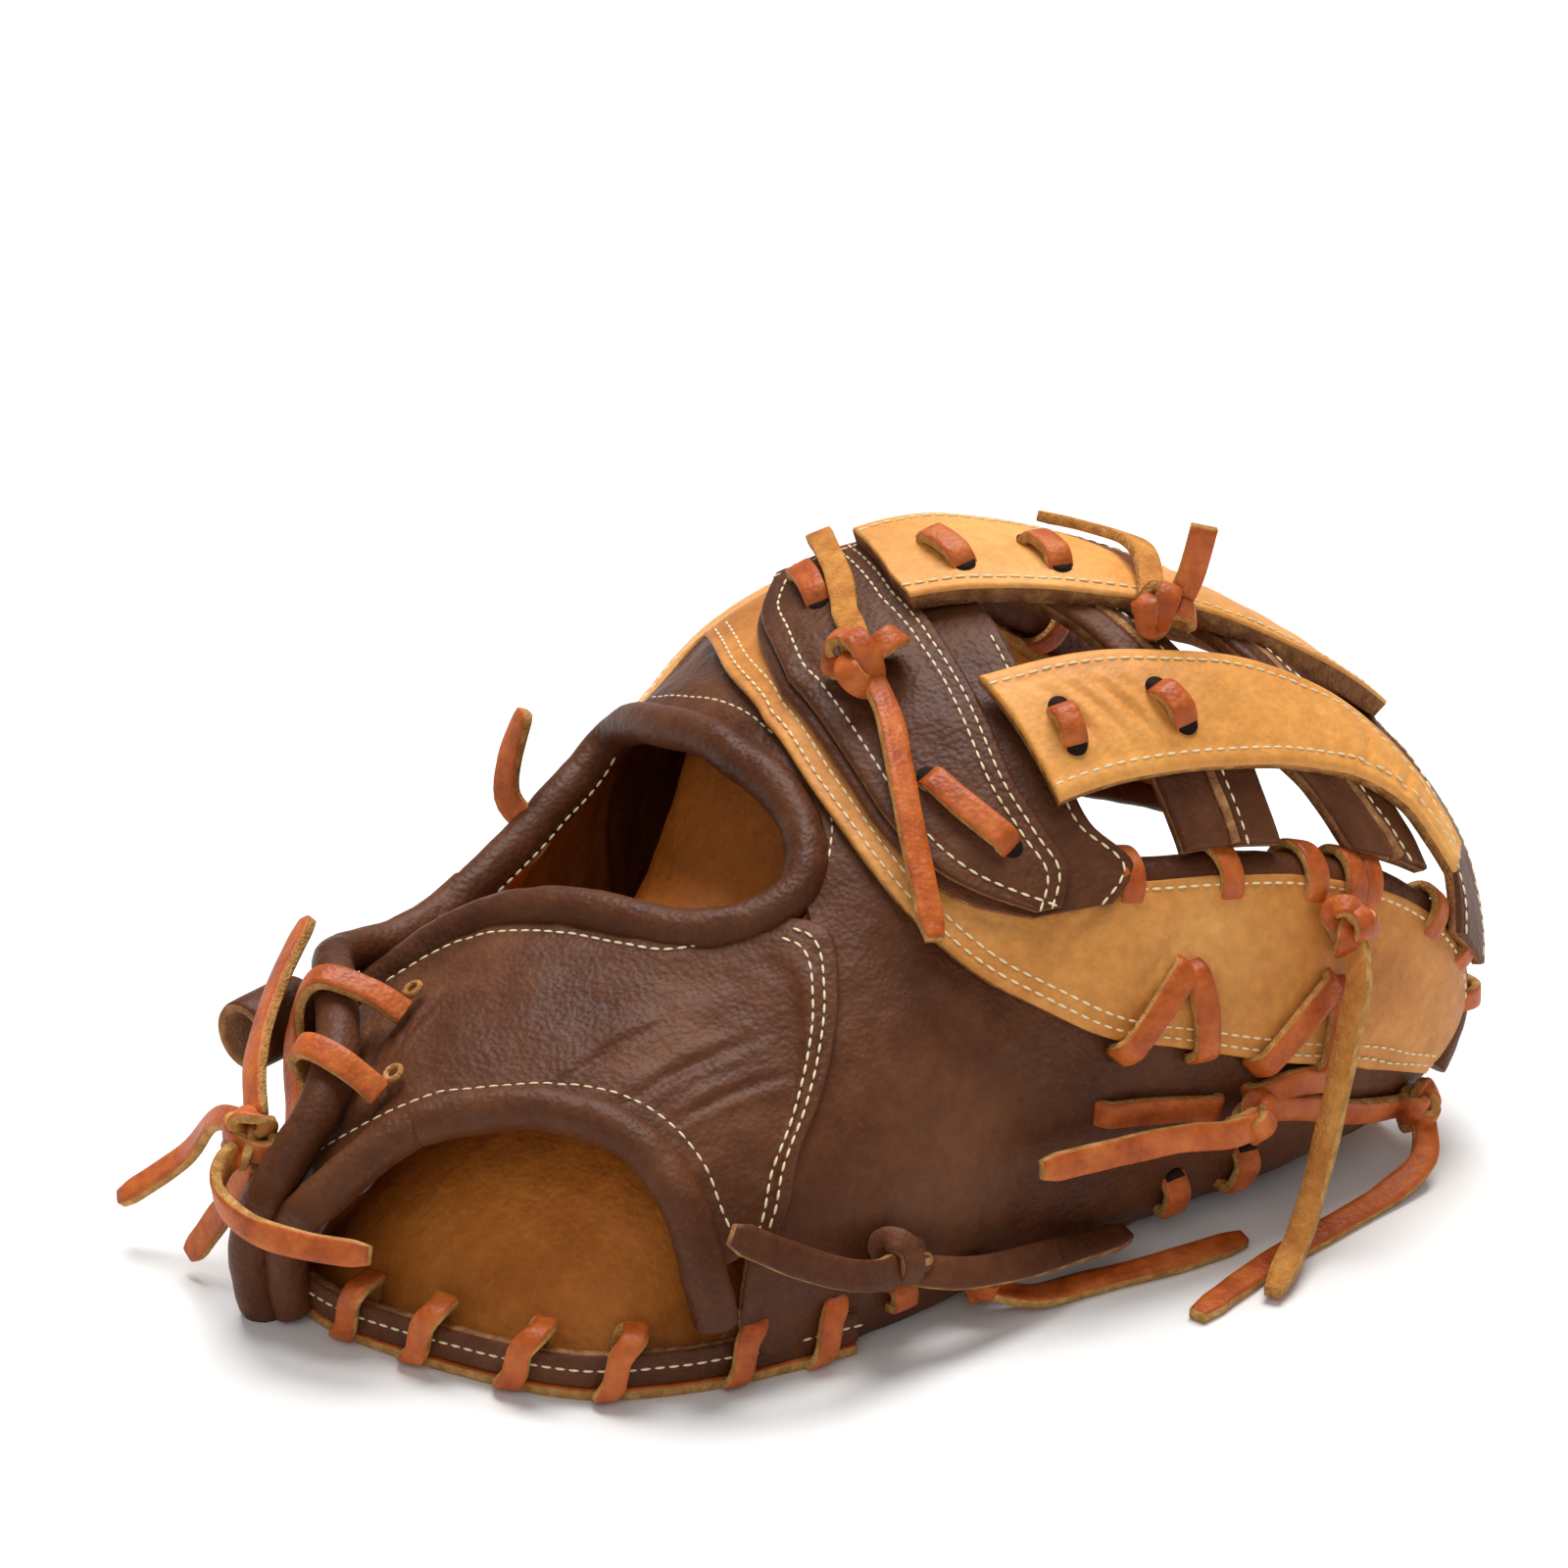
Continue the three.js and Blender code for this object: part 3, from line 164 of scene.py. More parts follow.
def leatherFinish(name, dark, base, light, rough, grain, bump, mottle=26, specks=0.0, fibre=0.0, sheen=0.0,
                  shine=0.25):  # dark and light mottle the base; grain is the pebble size
    material = bpy.data.materials.new(name)
    material.use_nodes = True
    tree = material.node_tree
    shader = tree.nodes["Principled BSDF"]
    where = addNode(tree, "ShaderNodeTexCoord").outputs["Object"]
    cloud = addNode(tree, "ShaderNodeTexNoise", {"Scale": mottle, "Detail": 5.0, "Roughness": 0.6}, {"Vector": where})
    fine = addNode(tree, "ShaderNodeTexNoise", {"Scale": 0.35 / grain, "Detail": 4.0, "Roughness": 0.7},
                   {"Vector": where})
    tone = ramp(tree, cloud.outputs["Fac"], [(0.28, dark), (0.72, light), (0.5, base)])
    speck = ramp(tree, fine.outputs["Fac"], [(0.35, 0.82), (0.65, 1.12)])
    colour = addNode(tree, "ShaderNodeMix", {"data_type": "RGBA", "blend_type": "MULTIPLY"})
    colour.inputs["Factor"].default_value = 0.75
    tree.links.new(tone, colour.inputs["A"])
    tree.links.new(speck, colour.inputs["B"])
    tinted = colour.outputs["Result"]
    if specks:
        spots = addNode(tree, "ShaderNodeTexNoise", {"Scale": 900.0, "Detail": 2.0}, {"Vector": where})
        mask = ramp(tree, spots.outputs["Fac"], [(0.62, 0.0), (0.7, specks)])
        paler = addNode(tree, "ShaderNodeMix", {"data_type": "RGBA"}, {"Factor": mask, "A": tinted})
        paler.inputs["B"].default_value = toLinear(light)
        tinted = paler.outputs["Result"]
    tree.links.new(tinted, shader.inputs["Base Color"])
    gloss = ramp(tree, cloud.outputs["Fac"], [(0.3, rough - 0.06), (0.7, rough + 0.08)])
    tree.links.new(gloss, shader.inputs["Roughness"])
    shader.inputs["IOR"].default_value = 1.45
    shader.inputs["Specular IOR Level"].default_value = shine
    if sheen:
        shader.inputs["Sheen Weight"].default_value = sheen
        shader.inputs["Sheen Roughness"].default_value = 0.5
    pebble = addNode(tree, "ShaderNodeTexVoronoi", {"Scale": 1 / grain, "feature": "SMOOTH_F1"}, {"Vector": where})
    height = pebble.outputs["Distance"]
    if fibre:
        hair = addNode(tree, "ShaderNodeTexNoise", {"Scale": 1400.0, "Detail": 3.0}, {"Vector": where})
        height = addNode(tree, "ShaderNodeMath", {"operation": "MULTIPLY_ADD", 1: fibre},
                         {0: hair.outputs["Fac"], 2: height}).outputs[0]
    wave = addNode(tree, "ShaderNodeTexNoise", {"Scale": 260.0, "Detail": 4.0, "Roughness": 0.6}, {"Vector": where})
    mixed = addNode(tree, "ShaderNodeMath", {"operation": "MULTIPLY_ADD", 1: 1.6},
                    {0: wave.outputs["Fac"], 2: height}).outputs[0]
    relief = addNode(tree, "ShaderNodeBump", {"Strength": bump, "Distance": 0.0005}, {"Height": mixed})
    tree.links.new(relief.outputs["Normal"], shader.inputs["Normal"])
    return material


# Oiled full grain cowhide: fine pebble, dull wax, paler where it bends
brown = leatherFinish("brownOiledCowhide", "#42200f", "#57301a", "#704429", 0.48, 1.2 * mm, 0.45, mottle=24,
                      specks=0.3, shine=0.2)
brownRaw = leatherFinish("brownCutEdge", "#6e4527", "#92633c", "#b38654", 0.85, 0.7 * mm, 0.7, mottle=260, fibre=0.6)
# Dry tan steerhide: smooth with faint pores and slow changes of tone
tan = leatherFinish("tanSteerhide", "#c47f38", "#dc984a", "#ecb56c", 0.5, 1.4 * mm, 0.3, mottle=15, specks=0.12,
                    shine=0.3)
# The same hide made darker: painted shade for the overlay band, which lies in shade
tanShadePainted = leatherFinish("tanSteerhideShadePainted", "#a25d24", "#c7823c", "#de9f56", 0.5, 1.4 * mm, 0.35, mottle=22,
                        specks=0.12, shine=0.3)
tanRaw = leatherFinish("tanCutEdge", "#7d4f26", "#a3703a", "#c4935a", 0.85, 0.7 * mm, 0.7, mottle=280, fibre=0.6)
# Glove leather lining: even and close grained
lining = leatherFinish("tanLiningLeather", "#9a5217", "#b26420", "#c67830", 0.55, 1.4 * mm, 0.45, mottle=18)
suede = leatherFinish("brownSuede", "#7c5236", "#966a49", "#aa7e5b", 0.95, 0.6 * mm, 0.6, mottle=60, fibre=0.8,
                      sheen=0.2)
# Rawhide lace: orange waxed face, pale fibrous edges and back
laceFace = leatherFinish("orangeRawhideLace", "#8f3a0e", "#b2541a", "#c86e30", 0.45, 1.1 * mm, 0.4, mottle=110,
                         shine=0.35)
laceEdge = leatherFinish("laceCutEdge", "#94682e", "#b58446", "#cea065", 0.85, 0.6 * mm, 0.7, mottle=320, fibre=0.7)
laceBack = leatherFinish("laceSuedeBack", "#a3642a", "#be7c3a", "#d0954e", 0.9, 0.7 * mm, 0.6, mottle=140, fibre=0.8)

# Painted shade: a near-black finish for the inside of a punched hole
holeShade = leatherFinish("paintedHoleShade", "#170c06", "#201209", "#2b190e", 0.9, 0.8 * mm, 0.3)


def threadFinish():
    material = bpy.data.materials.new("waxedThread")
    material.use_nodes = True
    tree = material.node_tree
    shader = tree.nodes["Principled BSDF"]
    shader.inputs["Base Color"].default_value = toLinear("#e3d3ab")
    shader.inputs["Roughness"].default_value = 0.6
    where = addNode(tree, "ShaderNodeTexCoord").outputs["Object"]
    ply = addNode(tree, "ShaderNodeTexNoise", {"Scale": 1800.0, "Detail": 1.0}, {"Vector": where})
    relief = addNode(tree, "ShaderNodeBump", {"Strength": 0.4, "Distance": 0.0002}, {"Height": ply.outputs["Fac"]})
    tree.links.new(relief.outputs["Normal"], shader.inputs["Normal"])
    return material


thread = threadFinish()

# Camera, light and floor
view = {"azimuth": -50, "elevation": 27, "distance": 1.15, "target": place([130, 0, 46]), "lens": 115,
        "sensor": 36, "rise": 0.1}


def makeCamera():
    turn, lift = math.radians(view["azimuth"]), math.radians(view["elevation"])
    back = Vector((math.sin(turn) * math.cos(lift), -math.cos(turn) * math.cos(lift), math.sin(lift)))
    camera = bpy.data.objects.new("photoCamera", bpy.data.cameras.new("photoCamera"))
    bpy.context.collection.objects.link(camera)
    camera.location = Vector(view["target"]) + back * view["distance"]
    camera.rotation_euler = back.to_track_quat("Z", "Y").to_euler()
    camera.data.lens = view["lens"]
    camera.data.sensor_width = view["sensor"]
    camera.data.shift_y = view["rise"]
    bpy.context.scene.camera = camera


def makeLight(name, direction, strength, softness):
    light = bpy.data.lights.new(name, "SUN")
    light.energy = strength
    light.angle = math.radians(softness)
    lamp = bpy.data.objects.new(name, light)
    bpy.context.collection.objects.link(lamp)
    lamp.rotation_euler = Vector(direction).to_track_quat("Z", "Y").to_euler()


studio = {"floorSize": 30, "floorColour": "#f4f3f1", "world": 0.27, "lights": {  # direction, strength, softness
    "softBox": [(0.4, 0.3, 1.2), 4.0, 40], "frontFill": [(-0.9, -0.5, 0.8), 0.6, 60]}}


def makeStudio():
    bpy.ops.mesh.primitive_plane_add(size=studio["floorSize"])
    floor = bpy.context.object
    floor.name = "studioFloor"
    material = bpy.data.materials.new("paleStudioPaper")
    material.use_nodes = True
    shader = material.node_tree.nodes["Principled BSDF"]
    shader.inputs["Base Color"].default_value = toLinear(studio["floorColour"])
    shader.inputs["Roughness"].default_value = 0.7
    floor.data.materials.append(material)
    world = bpy.data.worlds.new("studioWorld")
    bpy.context.scene.world = world
    world.use_nodes = True
    world.node_tree.nodes["Background"].inputs["Color"].default_value = (1, 1, 1, 1)
    world.node_tree.nodes["Background"].inputs["Strength"].default_value = studio["world"]
    for name, (direction, strength, softness) in studio["lights"].items():
        makeLight(name, direction, strength, softness)
    bpy.context.scene.view_settings.view_transform = "Standard"


makeCamera()
makeStudio()
print("camera, light and floor are set")


# Meshes
def meshPiece(name, points, faces, materials, indices=None):
    mesh = bpy.data.meshes.new(name)
    mesh.from_pydata([(x, y, max(z, 0)) for x, y, z in points], [], faces)  # nothing sinks into the floor
    for material in materials:
        mesh.materials.append(material)
    if indices is not None:
        mesh.polygons.foreach_set("material_index", np.asarray(indices, np.int32))
    shape = bmesh.new()
    shape.from_mesh(mesh)
    bmesh.ops.recalc_face_normals(shape, faces=shape.faces[:])
    for face in shape.faces:
        face.smooth = True
    shape.to_mesh(mesh)
    shape.free()
    piece = bpy.data.objects.new(name, mesh)
    bpy.context.collection.objects.link(piece)
    return piece


def joinPieces(name, pieces):
    bpy.ops.object.select_all(action="DESELECT")
    for piece in pieces:
        piece.select_set(True)
    bpy.context.view_layer.objects.active = pieces[0]
    bpy.ops.object.join()
    whole = bpy.context.object
    whole.name = name
    whole.data.name = name
    return whole


def keep(piece, slot, *nodes, fill=None):
    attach(piece, "root")
    if nodes:
        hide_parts(*nodes)


def shell(name, outer, inner, materials):  # materials of the outer face, the inner face and the rim
    rows, columns = outer.shape[:2]
    points = np.concatenate([outer.reshape(-1, 3), inner.reshape(-1, 3)])
    n = rows * columns
    grid = np.arange(n).reshape(rows, columns)
    a, b, c, d = grid[:-1, :-1].ravel(), grid[1:, :-1].ravel(), grid[1:, 1:].ravel(), grid[:-1, 1:].ravel()
    top = np.stack([a, b, c, d], 1)
    bottom = top[:, ::-1] + n
    rim = np.concatenate([grid[:, 0], grid[-1, 1:], grid[-2::-1, -1], grid[0, -2:0:-1]])
    follow = np.roll(rim, -1)
    walls = np.stack([rim, rim + n, follow + n, follow], 1)
    faces = np.concatenate([top, bottom, walls])
    indices = [0] * len(top) + [1] * len(bottom) + [2] * len(walls)
    return meshPiece(name, points, faces.tolist(), materials, indices)


def cloudAt(points, scale, seed=0.0):
    flat = points.reshape(-1, 3) / scale + seed
    return np.array([noise.noise(Vector(p)) for p in flat]).reshape(points.shape[:-1])


edgeLines = [0.0, 0.35, 0.9, 1.7, 2.8]  # mm from an edge where the grid is finer, to round it


def edgeShares(count, width):
    near = [e / (width / mm) for e in edgeLines]
    inside = np.linspace(near[-1], 1 - near[-1], count)
    return np.concatenate([near[:-1], inside, [1 - e for e in near[:-1]][::-1]])


def creaseDrop(u, v, creases):
    drop = np.zeros(u.shape)
    for uA, vA, uB, vB, wide, deep in creases:
        scale = np.array([mitt["length"], mitt["width"] * 0.75]) / mm
        point = np.stack([u * scale[0], v * scale[1]], -1)
        start, end = np.array([uA, vA]) * scale, np.array([uB, vB]) * scale
        along = end - start
        length = np.linalg.norm(along)
        share = ((point - start) @ along) / length ** 2
        nearest = start + np.clip(share, 0, 1)[..., None] * along
        bow = 0.06 * length * np.sin(np.clip(share, 0, 1) * np.pi)
        side = ((point - start) @ np.array([-along[1], along[0]])) / length - bow
        fade = np.clip(1 - np.abs(np.clip(share, -0.3, 1.3) - 0.5) * 2 + 0.35, 0, 1)
        beyond = np.linalg.norm(point - nearest, axis=-1) * ((share < 0) | (share > 1))
        drop -= deep * np.exp(-(side ** 2 + beyond ** 2) / wide ** 2) * fade
        drop += 0.45 * deep * np.exp(-((np.abs(side) - 1.9 * wide) ** 2 + beyond ** 2) / wide ** 2) * fade
    return drop


def panelPoints(rows, shareAlong, shareAcross):
    line = evenRow(rows, shareAlong)
    if line.shape[-1] == 4:
        line = np.concatenate([line, np.zeros(line.shape[:-1] + (1,))], -1)
    s = np.asarray(shareAcross)
    u = line[..., 0] + (line[..., 2] - line[..., 0]) * s
    v = line[..., 1] + (line[..., 3] - line[..., 1]) * s
    return u, v, line[..., 4]


def panelSize(rows):
    share = np.linspace(0, 1, 25)
    uA, vA, _ = panelPoints(rows, share, 0)
    uB, vB, _ = panelPoints(rows, share, 1)
    a, b = skin(uA, vA), skin(uB, vB)
    long = max(np.linalg.norm(np.diff(a, axis=0), axis=1).sum(), np.linalg.norm(np.diff(b, axis=0), axis=1).sum())
    return long, np.linalg.norm(a - b, axis=1).mean()


def waveOf(look, u, v, points):
    seed = look.get("seed", 0)
    wave = look.get("puff", 0) * cloudAt(points, 22 * mm, seed)
    wave = wave + look.get("ripple", 0) * cloudAt(points, 7 * mm, seed + 9)
    wave = wave + creaseDrop(u, v, look.get("creases", []))
    for uC, vC, wide, deep in look.get("dents", []):
        away = np.stack([(u - uC) * mitt["length"], (v - vC) * mitt["width"] * 0.75], -1) / mm
        wave = wave - deep * np.exp(-(away ** 2).sum(-1) / wide ** 2)
    return wave


def lapLift(look, along, away):
    lap = look.get("lap")
    if not lap:
        return 0
    window = smoothRise((along - lap["from"]) / 0.05) * smoothRise((lap["to"] - along) / 0.08)
    return lap["height"] * smoothRise((lap["reach"] - away) / 4) * window


def panel(name, look):
    rows = look["rows"]
    long, wide = panelSize(rows)
    cell = look.get("cell", 1.7) * mm
    shareAlong = edgeShares(int(long / cell), long)
    shareAcross = edgeShares(int(wide / cell), wide)
    along, across = np.meshgrid(shareAlong, shareAcross, indexing="ij")
    u, v, rise = panelPoints(rows, along, across)
    wave = waveOf(look, u, v, skin(u, v))
    edge = np.minimum(np.minimum(across, 1 - across) * wide, np.minimum(along, 1 - along) * long) / mm
    radius = look.get("edgeRadius", 0.9)
    inside = np.clip(radius - edge, 0, radius)
    drop = radius - np.sqrt(np.maximum(radius ** 2 - inside ** 2, 0))
    groove = np.zeros(edge.shape)
    for side, inset in look.get("grooves", []):
        away = {"A": across * wide, "B": (1 - across) * wide, "start": along * long, "end": (1 - along) * long}[side]
        groove += 0.32 * np.exp(-((away / mm - inset) / 0.75) ** 2)
    if "seam" in look:
        fromMiddle = np.abs(across - 0.5) * wide / mm
        groove += look["seam"] * np.exp(-(fromMiddle / 0.9) ** 2)
        groove -= look["seam"] * 0.4 * np.exp(-((fromMiddle - 2.2) / 1.4) ** 2)
    fade = np.clip(edge / 4, 0, 1) if look.get("pinEdges", True) else 1
    lift = rise + wave * fade + lapLift(look, along, across * wide / mm)
    outer = lifted(u, v, look["high"] + lift - drop * 0.8 - groove)
    inner = lifted(u, v, look["low"] + lift)
    return shell(name, outer, inner, look["finish"])


def panelLine(look, side, inset, fromShare=0.0, toShare=1.0, lift=0.0, count=90):  # inset in mm from a side
    rows = look["rows"]
    long, _ = panelSize(rows)
    share = np.linspace(fromShare, toShare, count)
    if side in "AB":
        uA, vA, _ = panelPoints(rows, share, 0)
        uB, vB, _ = panelPoints(rows, share, 1)
        width = np.linalg.norm(skin(uA, vA) - skin(uB, vB), axis=-1) / mm
        s = inset / width if side == "A" else 1 - inset / width
        u, v, rise = panelPoints(rows, share, s)
    else:
        s = inset * mm / long if side == "start" else 1 - inset * mm / long
        u, v, rise = panelPoints(rows, np.full(share.shape, s), share)
    wave = waveOf(look, u, v, skin(u, v))
    if side == "A":
        wave = wave + lapLift(look, share, inset)
    top = look["high"] + rise + wave + lift
    return lifted(u, v, top), skinNormal(u, v)


# Stitches
stitchLook = {"spacing": 3.0 * mm, "length": 2.45 * mm, "width": 0.62 * mm, "sink": 0.08}
stitchLines = {"backStitches": [], "webStitches": [], "heelStitches": []}


def stitch(group, look, side, inset, fromShare=0.0, toShare=1.0, lift=0.0):
    stitchLines[group].append(panelLine(look, side, inset, fromShare, toShare, lift - stitchLook["sink"]))


def stitchTree():
    tree = bpy.data.node_groups.new("stitchRow", "GeometryNodeTree")
    tree.interface.new_socket("Geometry", in_out="INPUT", socket_type="NodeSocketGeometry")
    for label in ("Spacing", "Stitch Length", "Thread Width"):
        tree.interface.new_socket(label, in_out="INPUT", socket_type="NodeSocketFloat")
    tree.interface.new_socket("Thread", in_out="INPUT", socket_type="NodeSocketMaterial")
    tree.interface.new_socket("Geometry", in_out="OUTPUT", socket_type="NodeSocketGeometry")
    given = addNode(tree, "NodeGroupInput").outputs
    curve = addNode(tree, "GeometryNodeMeshToCurve", links={"Mesh": given["Geometry"]})
    spread = addNode(tree, "GeometryNodeResampleCurve", {"mode": "LENGTH"},
                     {"Curve": curve.outputs["Curve"], "Length": given["Spacing"]})
    grain = addNode(tree, "GeometryNodeMeshUVSphere", {"Segments": 7, "Rings": 6, "Radius": 0.5})
    size = addNode(tree, "ShaderNodeCombineXYZ", links={0: given["Stitch Length"], 1: given["Thread Width"],
                                                        2: given["Thread Width"]})
    formed = addNode(tree, "GeometryNodeTransform", links={"Geometry": grain.outputs["Mesh"],
                                                           "Scale": size.outputs["Vector"]})
    tangent = addNode(tree, "GeometryNodeInputTangent")
    up = addNode(tree, "GeometryNodeInputNamedAttribute", {"data_type": "FLOAT_VECTOR", "Name": "up"})
    first = addNode(tree, "FunctionNodeAlignRotationToVector", {"axis": "X"}, {"Vector": tangent.outputs["Tangent"]})
    second = addNode(tree, "FunctionNodeAlignRotationToVector", {"axis": "Z", "pivot_axis": "X"},
                     {"Rotation": first.outputs["Rotation"], "Vector": up.outputs["Attribute"]})
    placed = addNode(tree, "GeometryNodeInstanceOnPoints", links={
        "Points": spread.outputs["Curve"], "Instance": formed.outputs["Geometry"],
        "Rotation": second.outputs["Rotation"]})
    real = addNode(tree, "GeometryNodeRealizeInstances", links={"Geometry": placed.outputs["Instances"]})
    finish = addNode(tree, "GeometryNodeSetMaterial", links={"Geometry": real.outputs["Geometry"],
                                                             "Material": given["Thread"]})
    addNode(tree, "NodeGroupOutput", links={"Geometry": finish.outputs["Geometry"]})
    return tree


def makeStitches():
    tree = stitchTree()
    sockets = {item.name: item.identifier for item in tree.interface.items_tree if item.in_out == "INPUT"}
    for name, lines in stitchLines.items():
        points = np.concatenate([line[0] for line in lines])
        ups = np.concatenate([line[1] for line in lines])
        edges = []
        start = 0
        for centres, _ in lines:
            edges += [(start + i, start + i + 1) for i in range(len(centres) - 1)]
            start += len(centres)
        mesh = bpy.data.meshes.new(name + "Path")
        mesh.from_pydata(points.tolist(), edges, [])
        attribute = mesh.attributes.new("up", "FLOAT_VECTOR", "POINT")
        attribute.data.foreach_set("vector", ups.ravel())
        path = bpy.data.objects.new(name + "Path", mesh)
        bpy.context.collection.objects.link(path)
        modifier = path.modifiers.new("stitches", "NODES")
        modifier.node_group = tree
        modifier[sockets["Spacing"]] = stitchLook["spacing"]
        modifier[sockets["Stitch Length"]] = stitchLook["length"]
        modifier[sockets["Thread Width"]] = stitchLook["width"]
        modifier[sockets["Thread"]] = thread
        graph = bpy.context.evaluated_depsgraph_get()
        mesh = bpy.data.meshes.new_from_object(path.evaluated_get(graph))
        for polygon in mesh.polygons:
            polygon.use_smooth = True
        piece = bpy.data.objects.new(name, mesh)
        bpy.context.collection.objects.link(piece)
        bpy.data.objects.remove(path)
        keep(piece, "thread")
        print(name, len(mesh.polygons), "faces")


# Laces, rolls and welts are bars and tubes along a line
def smoothLine(points, step):
    points = np.asarray(points, float)
    fine = evenRow(points, np.linspace(0, 1, 24 * len(points)))
    run = np.concatenate([[0], np.cumsum(np.linalg.norm(np.diff(fine, axis=0), axis=1))])
    count = max(int(run[-1] / step), 4)
    at = np.linspace(0, run[-1], count)
    return np.stack([np.interp(at, run, fine[:, k]) for k in range(3)], -1)


def framesOf(centres, ups, closed):
    if closed:
        tangent = unit(np.roll(centres, -1, 0) - np.roll(centres, 1, 0))
    else:
        tangent = unit(np.gradient(centres, axis=0))
    across = unit(np.cross(tangent, ups))
    return across, np.cross(across, tangent)


laceSection = [(-1, -0.72), (-0.93, -1), (0.93, -1), (1, -0.72), (1, 0.6), (0.9, 0.93), (0.5, 1), (-0.5, 1),
               (-0.9, 0.93), (-1, 0.6)]
laceSides = [2, 1, 2, 2, 0, 0, 0, 0, 0, 2]  # 0 waxed face, 1 suede back, 2 cut edge


def bar(name, centres, ups, width, wall, materials, section=None, sides=None, closed=False, taper=0.0, wobble=0.0):
    section = np.array(section or laceSection, float)
    sides = sides or laceSides
    across, up = framesOf(centres, ups, closed)
    count = len(centres)
    scale = np.ones(count)
    if wobble:
        scale = 1 + wobble * cloudAt(centres, 9 * mm, 3.3)
    if taper and not closed:
        end = np.arange(count) / (count - 1)
        scale = scale * (1 - taper * np.clip((end - 0.93) / 0.07, 0, 1))
    rings = (centres[:, None] + across[:, None] * (section[None, :, :1] * scale[:, None, None] * width / 2)
             + up[:, None] * (section[None, :, 1:] * wall / 2))
    k = len(section)
    points = rings.reshape(-1, 3)
    faces, indices = [], []
    for i in range(count if closed else count - 1):
        j = (i + 1) % count
        for s in range(k):
            t = (s + 1) % k
            faces.append((i * k + s, i * k + t, j * k + t, j * k + s))
            indices.append(sides[s])
    if not closed:
        faces.append(tuple(range(k)))
        faces.append(tuple(reversed(range((count - 1) * k, count * k))))
        indices += [2 if len(materials) > 2 else 0] * 2
    return meshPiece(name, points, faces, materials, indices)


laceLook = {"width": 6 * mm, "wall": 2.6 * mm, "rest": 1.8, "wrapWall": 2.2 * mm, "runWidth": 3.6 * mm}
laceFinish = [laceFace, laceBack, laceEdge]
paleLace = [laceBack, laceBack, laceEdge]
brownTie = [brown, suede, brownRaw]


# A lace lying on the skin, whose ends go down through holes
def laceOn(name, over, rows, finish=laceFinish, dive=True):
    rows = np.array([list(r) + [0] * (3 - len(r)) for r in rows], float)
    fine = evenRow(rows, np.linspace(0, 1, 14 * len(rows)))
    lift = over + laceLook["rest"] + fine[:, 2]
    if dive:
        end = np.linspace(0, 1, len(fine))
        gap = np.minimum(end, 1 - end)
        reach = np.linalg.norm(np.diff(skin(fine[:, 0], fine[:, 1]), axis=0), axis=1).sum() / mm
        lift = lift + 0.5 * np.sin(np.pi * end) - 4.2 * np.clip(1 - gap * reach / 3.4, 0, 1) ** 1.6
    centres = lifted(fine[:, 0], fine[:, 1], lift)
    ups = skinNormal(fine[:, 0], fine[:, 1])
    return bar(name, centres, ups, laceLook["width"], laceLook["wall"], finish, wobble=0.08)


circle = [(math.cos(2 * math.pi * k / 20), math.sin(2 * math.pi * k / 20)) for k in range(20)]


def closedRow(rows, share):
    n = len(rows)
    spot = share * n
    i = np.floor(spot).astype(int)
    at = lambda j: rows[j % n]
    return hermite(at(i), at(i + 1), (at(i + 1) - at(i - 1)) / 2, (at(i + 2) - at(i)) / 2, (spot - i)[:, None])


def tube(name, centres, ups, radius, materials, closed=False, wrinkle=0.35, seed=0.0):
    across, up = framesOf(centres, ups, closed)
    ring = np.array(circle)
    spoke = across[:, None] * ring[None, :, :1] + up[:, None] * ring[None, :, 1:]
    size = np.broadcast_to(np.asarray(radius, float), (len(centres),))[:, None]
    base = centres[:, None] + spoke * size[..., None] * mm
    swell = wrinkle * (0.7 * cloudAt(base, 13 * mm, seed) + 0.5 * cloudAt(base, 4.5 * mm, seed + 5))
    points = centres[:, None] + spoke * ((size + swell - 0.1) * mm)[..., None]
    k = len(circle)
    faces = []
    for i in range(len(centres) if closed else len(centres) - 1):
        j = (i + 1) % len(centres)
        faces += [(i * k + s, i * k + (s + 1) % k, j * k + (s + 1) % k, j * k + s) for s in range(k)]
    if not closed:
        faces += [tuple(range(k)), tuple(reversed(range((len(centres) - 1) * k, len(centres) * k)))]
    return meshPiece(name, points.reshape(-1, 3), faces, materials)


def roll(name, rows, radius, closed=False, wrinkle=0.35, steps=260, seed=0.0):
    rows = np.array(rows, float)
    share = np.arange(steps) / (steps if closed else steps - 1)
    line = closedRow(rows, share) if closed else evenRow(rows, share)
    centres = lifted(line[:, 0], line[:, 1], line[:, 2])
    return tube(name, centres, skinNormal(line[:, 0], line[:, 1]), radius, [brown], closed, wrinkle, seed)


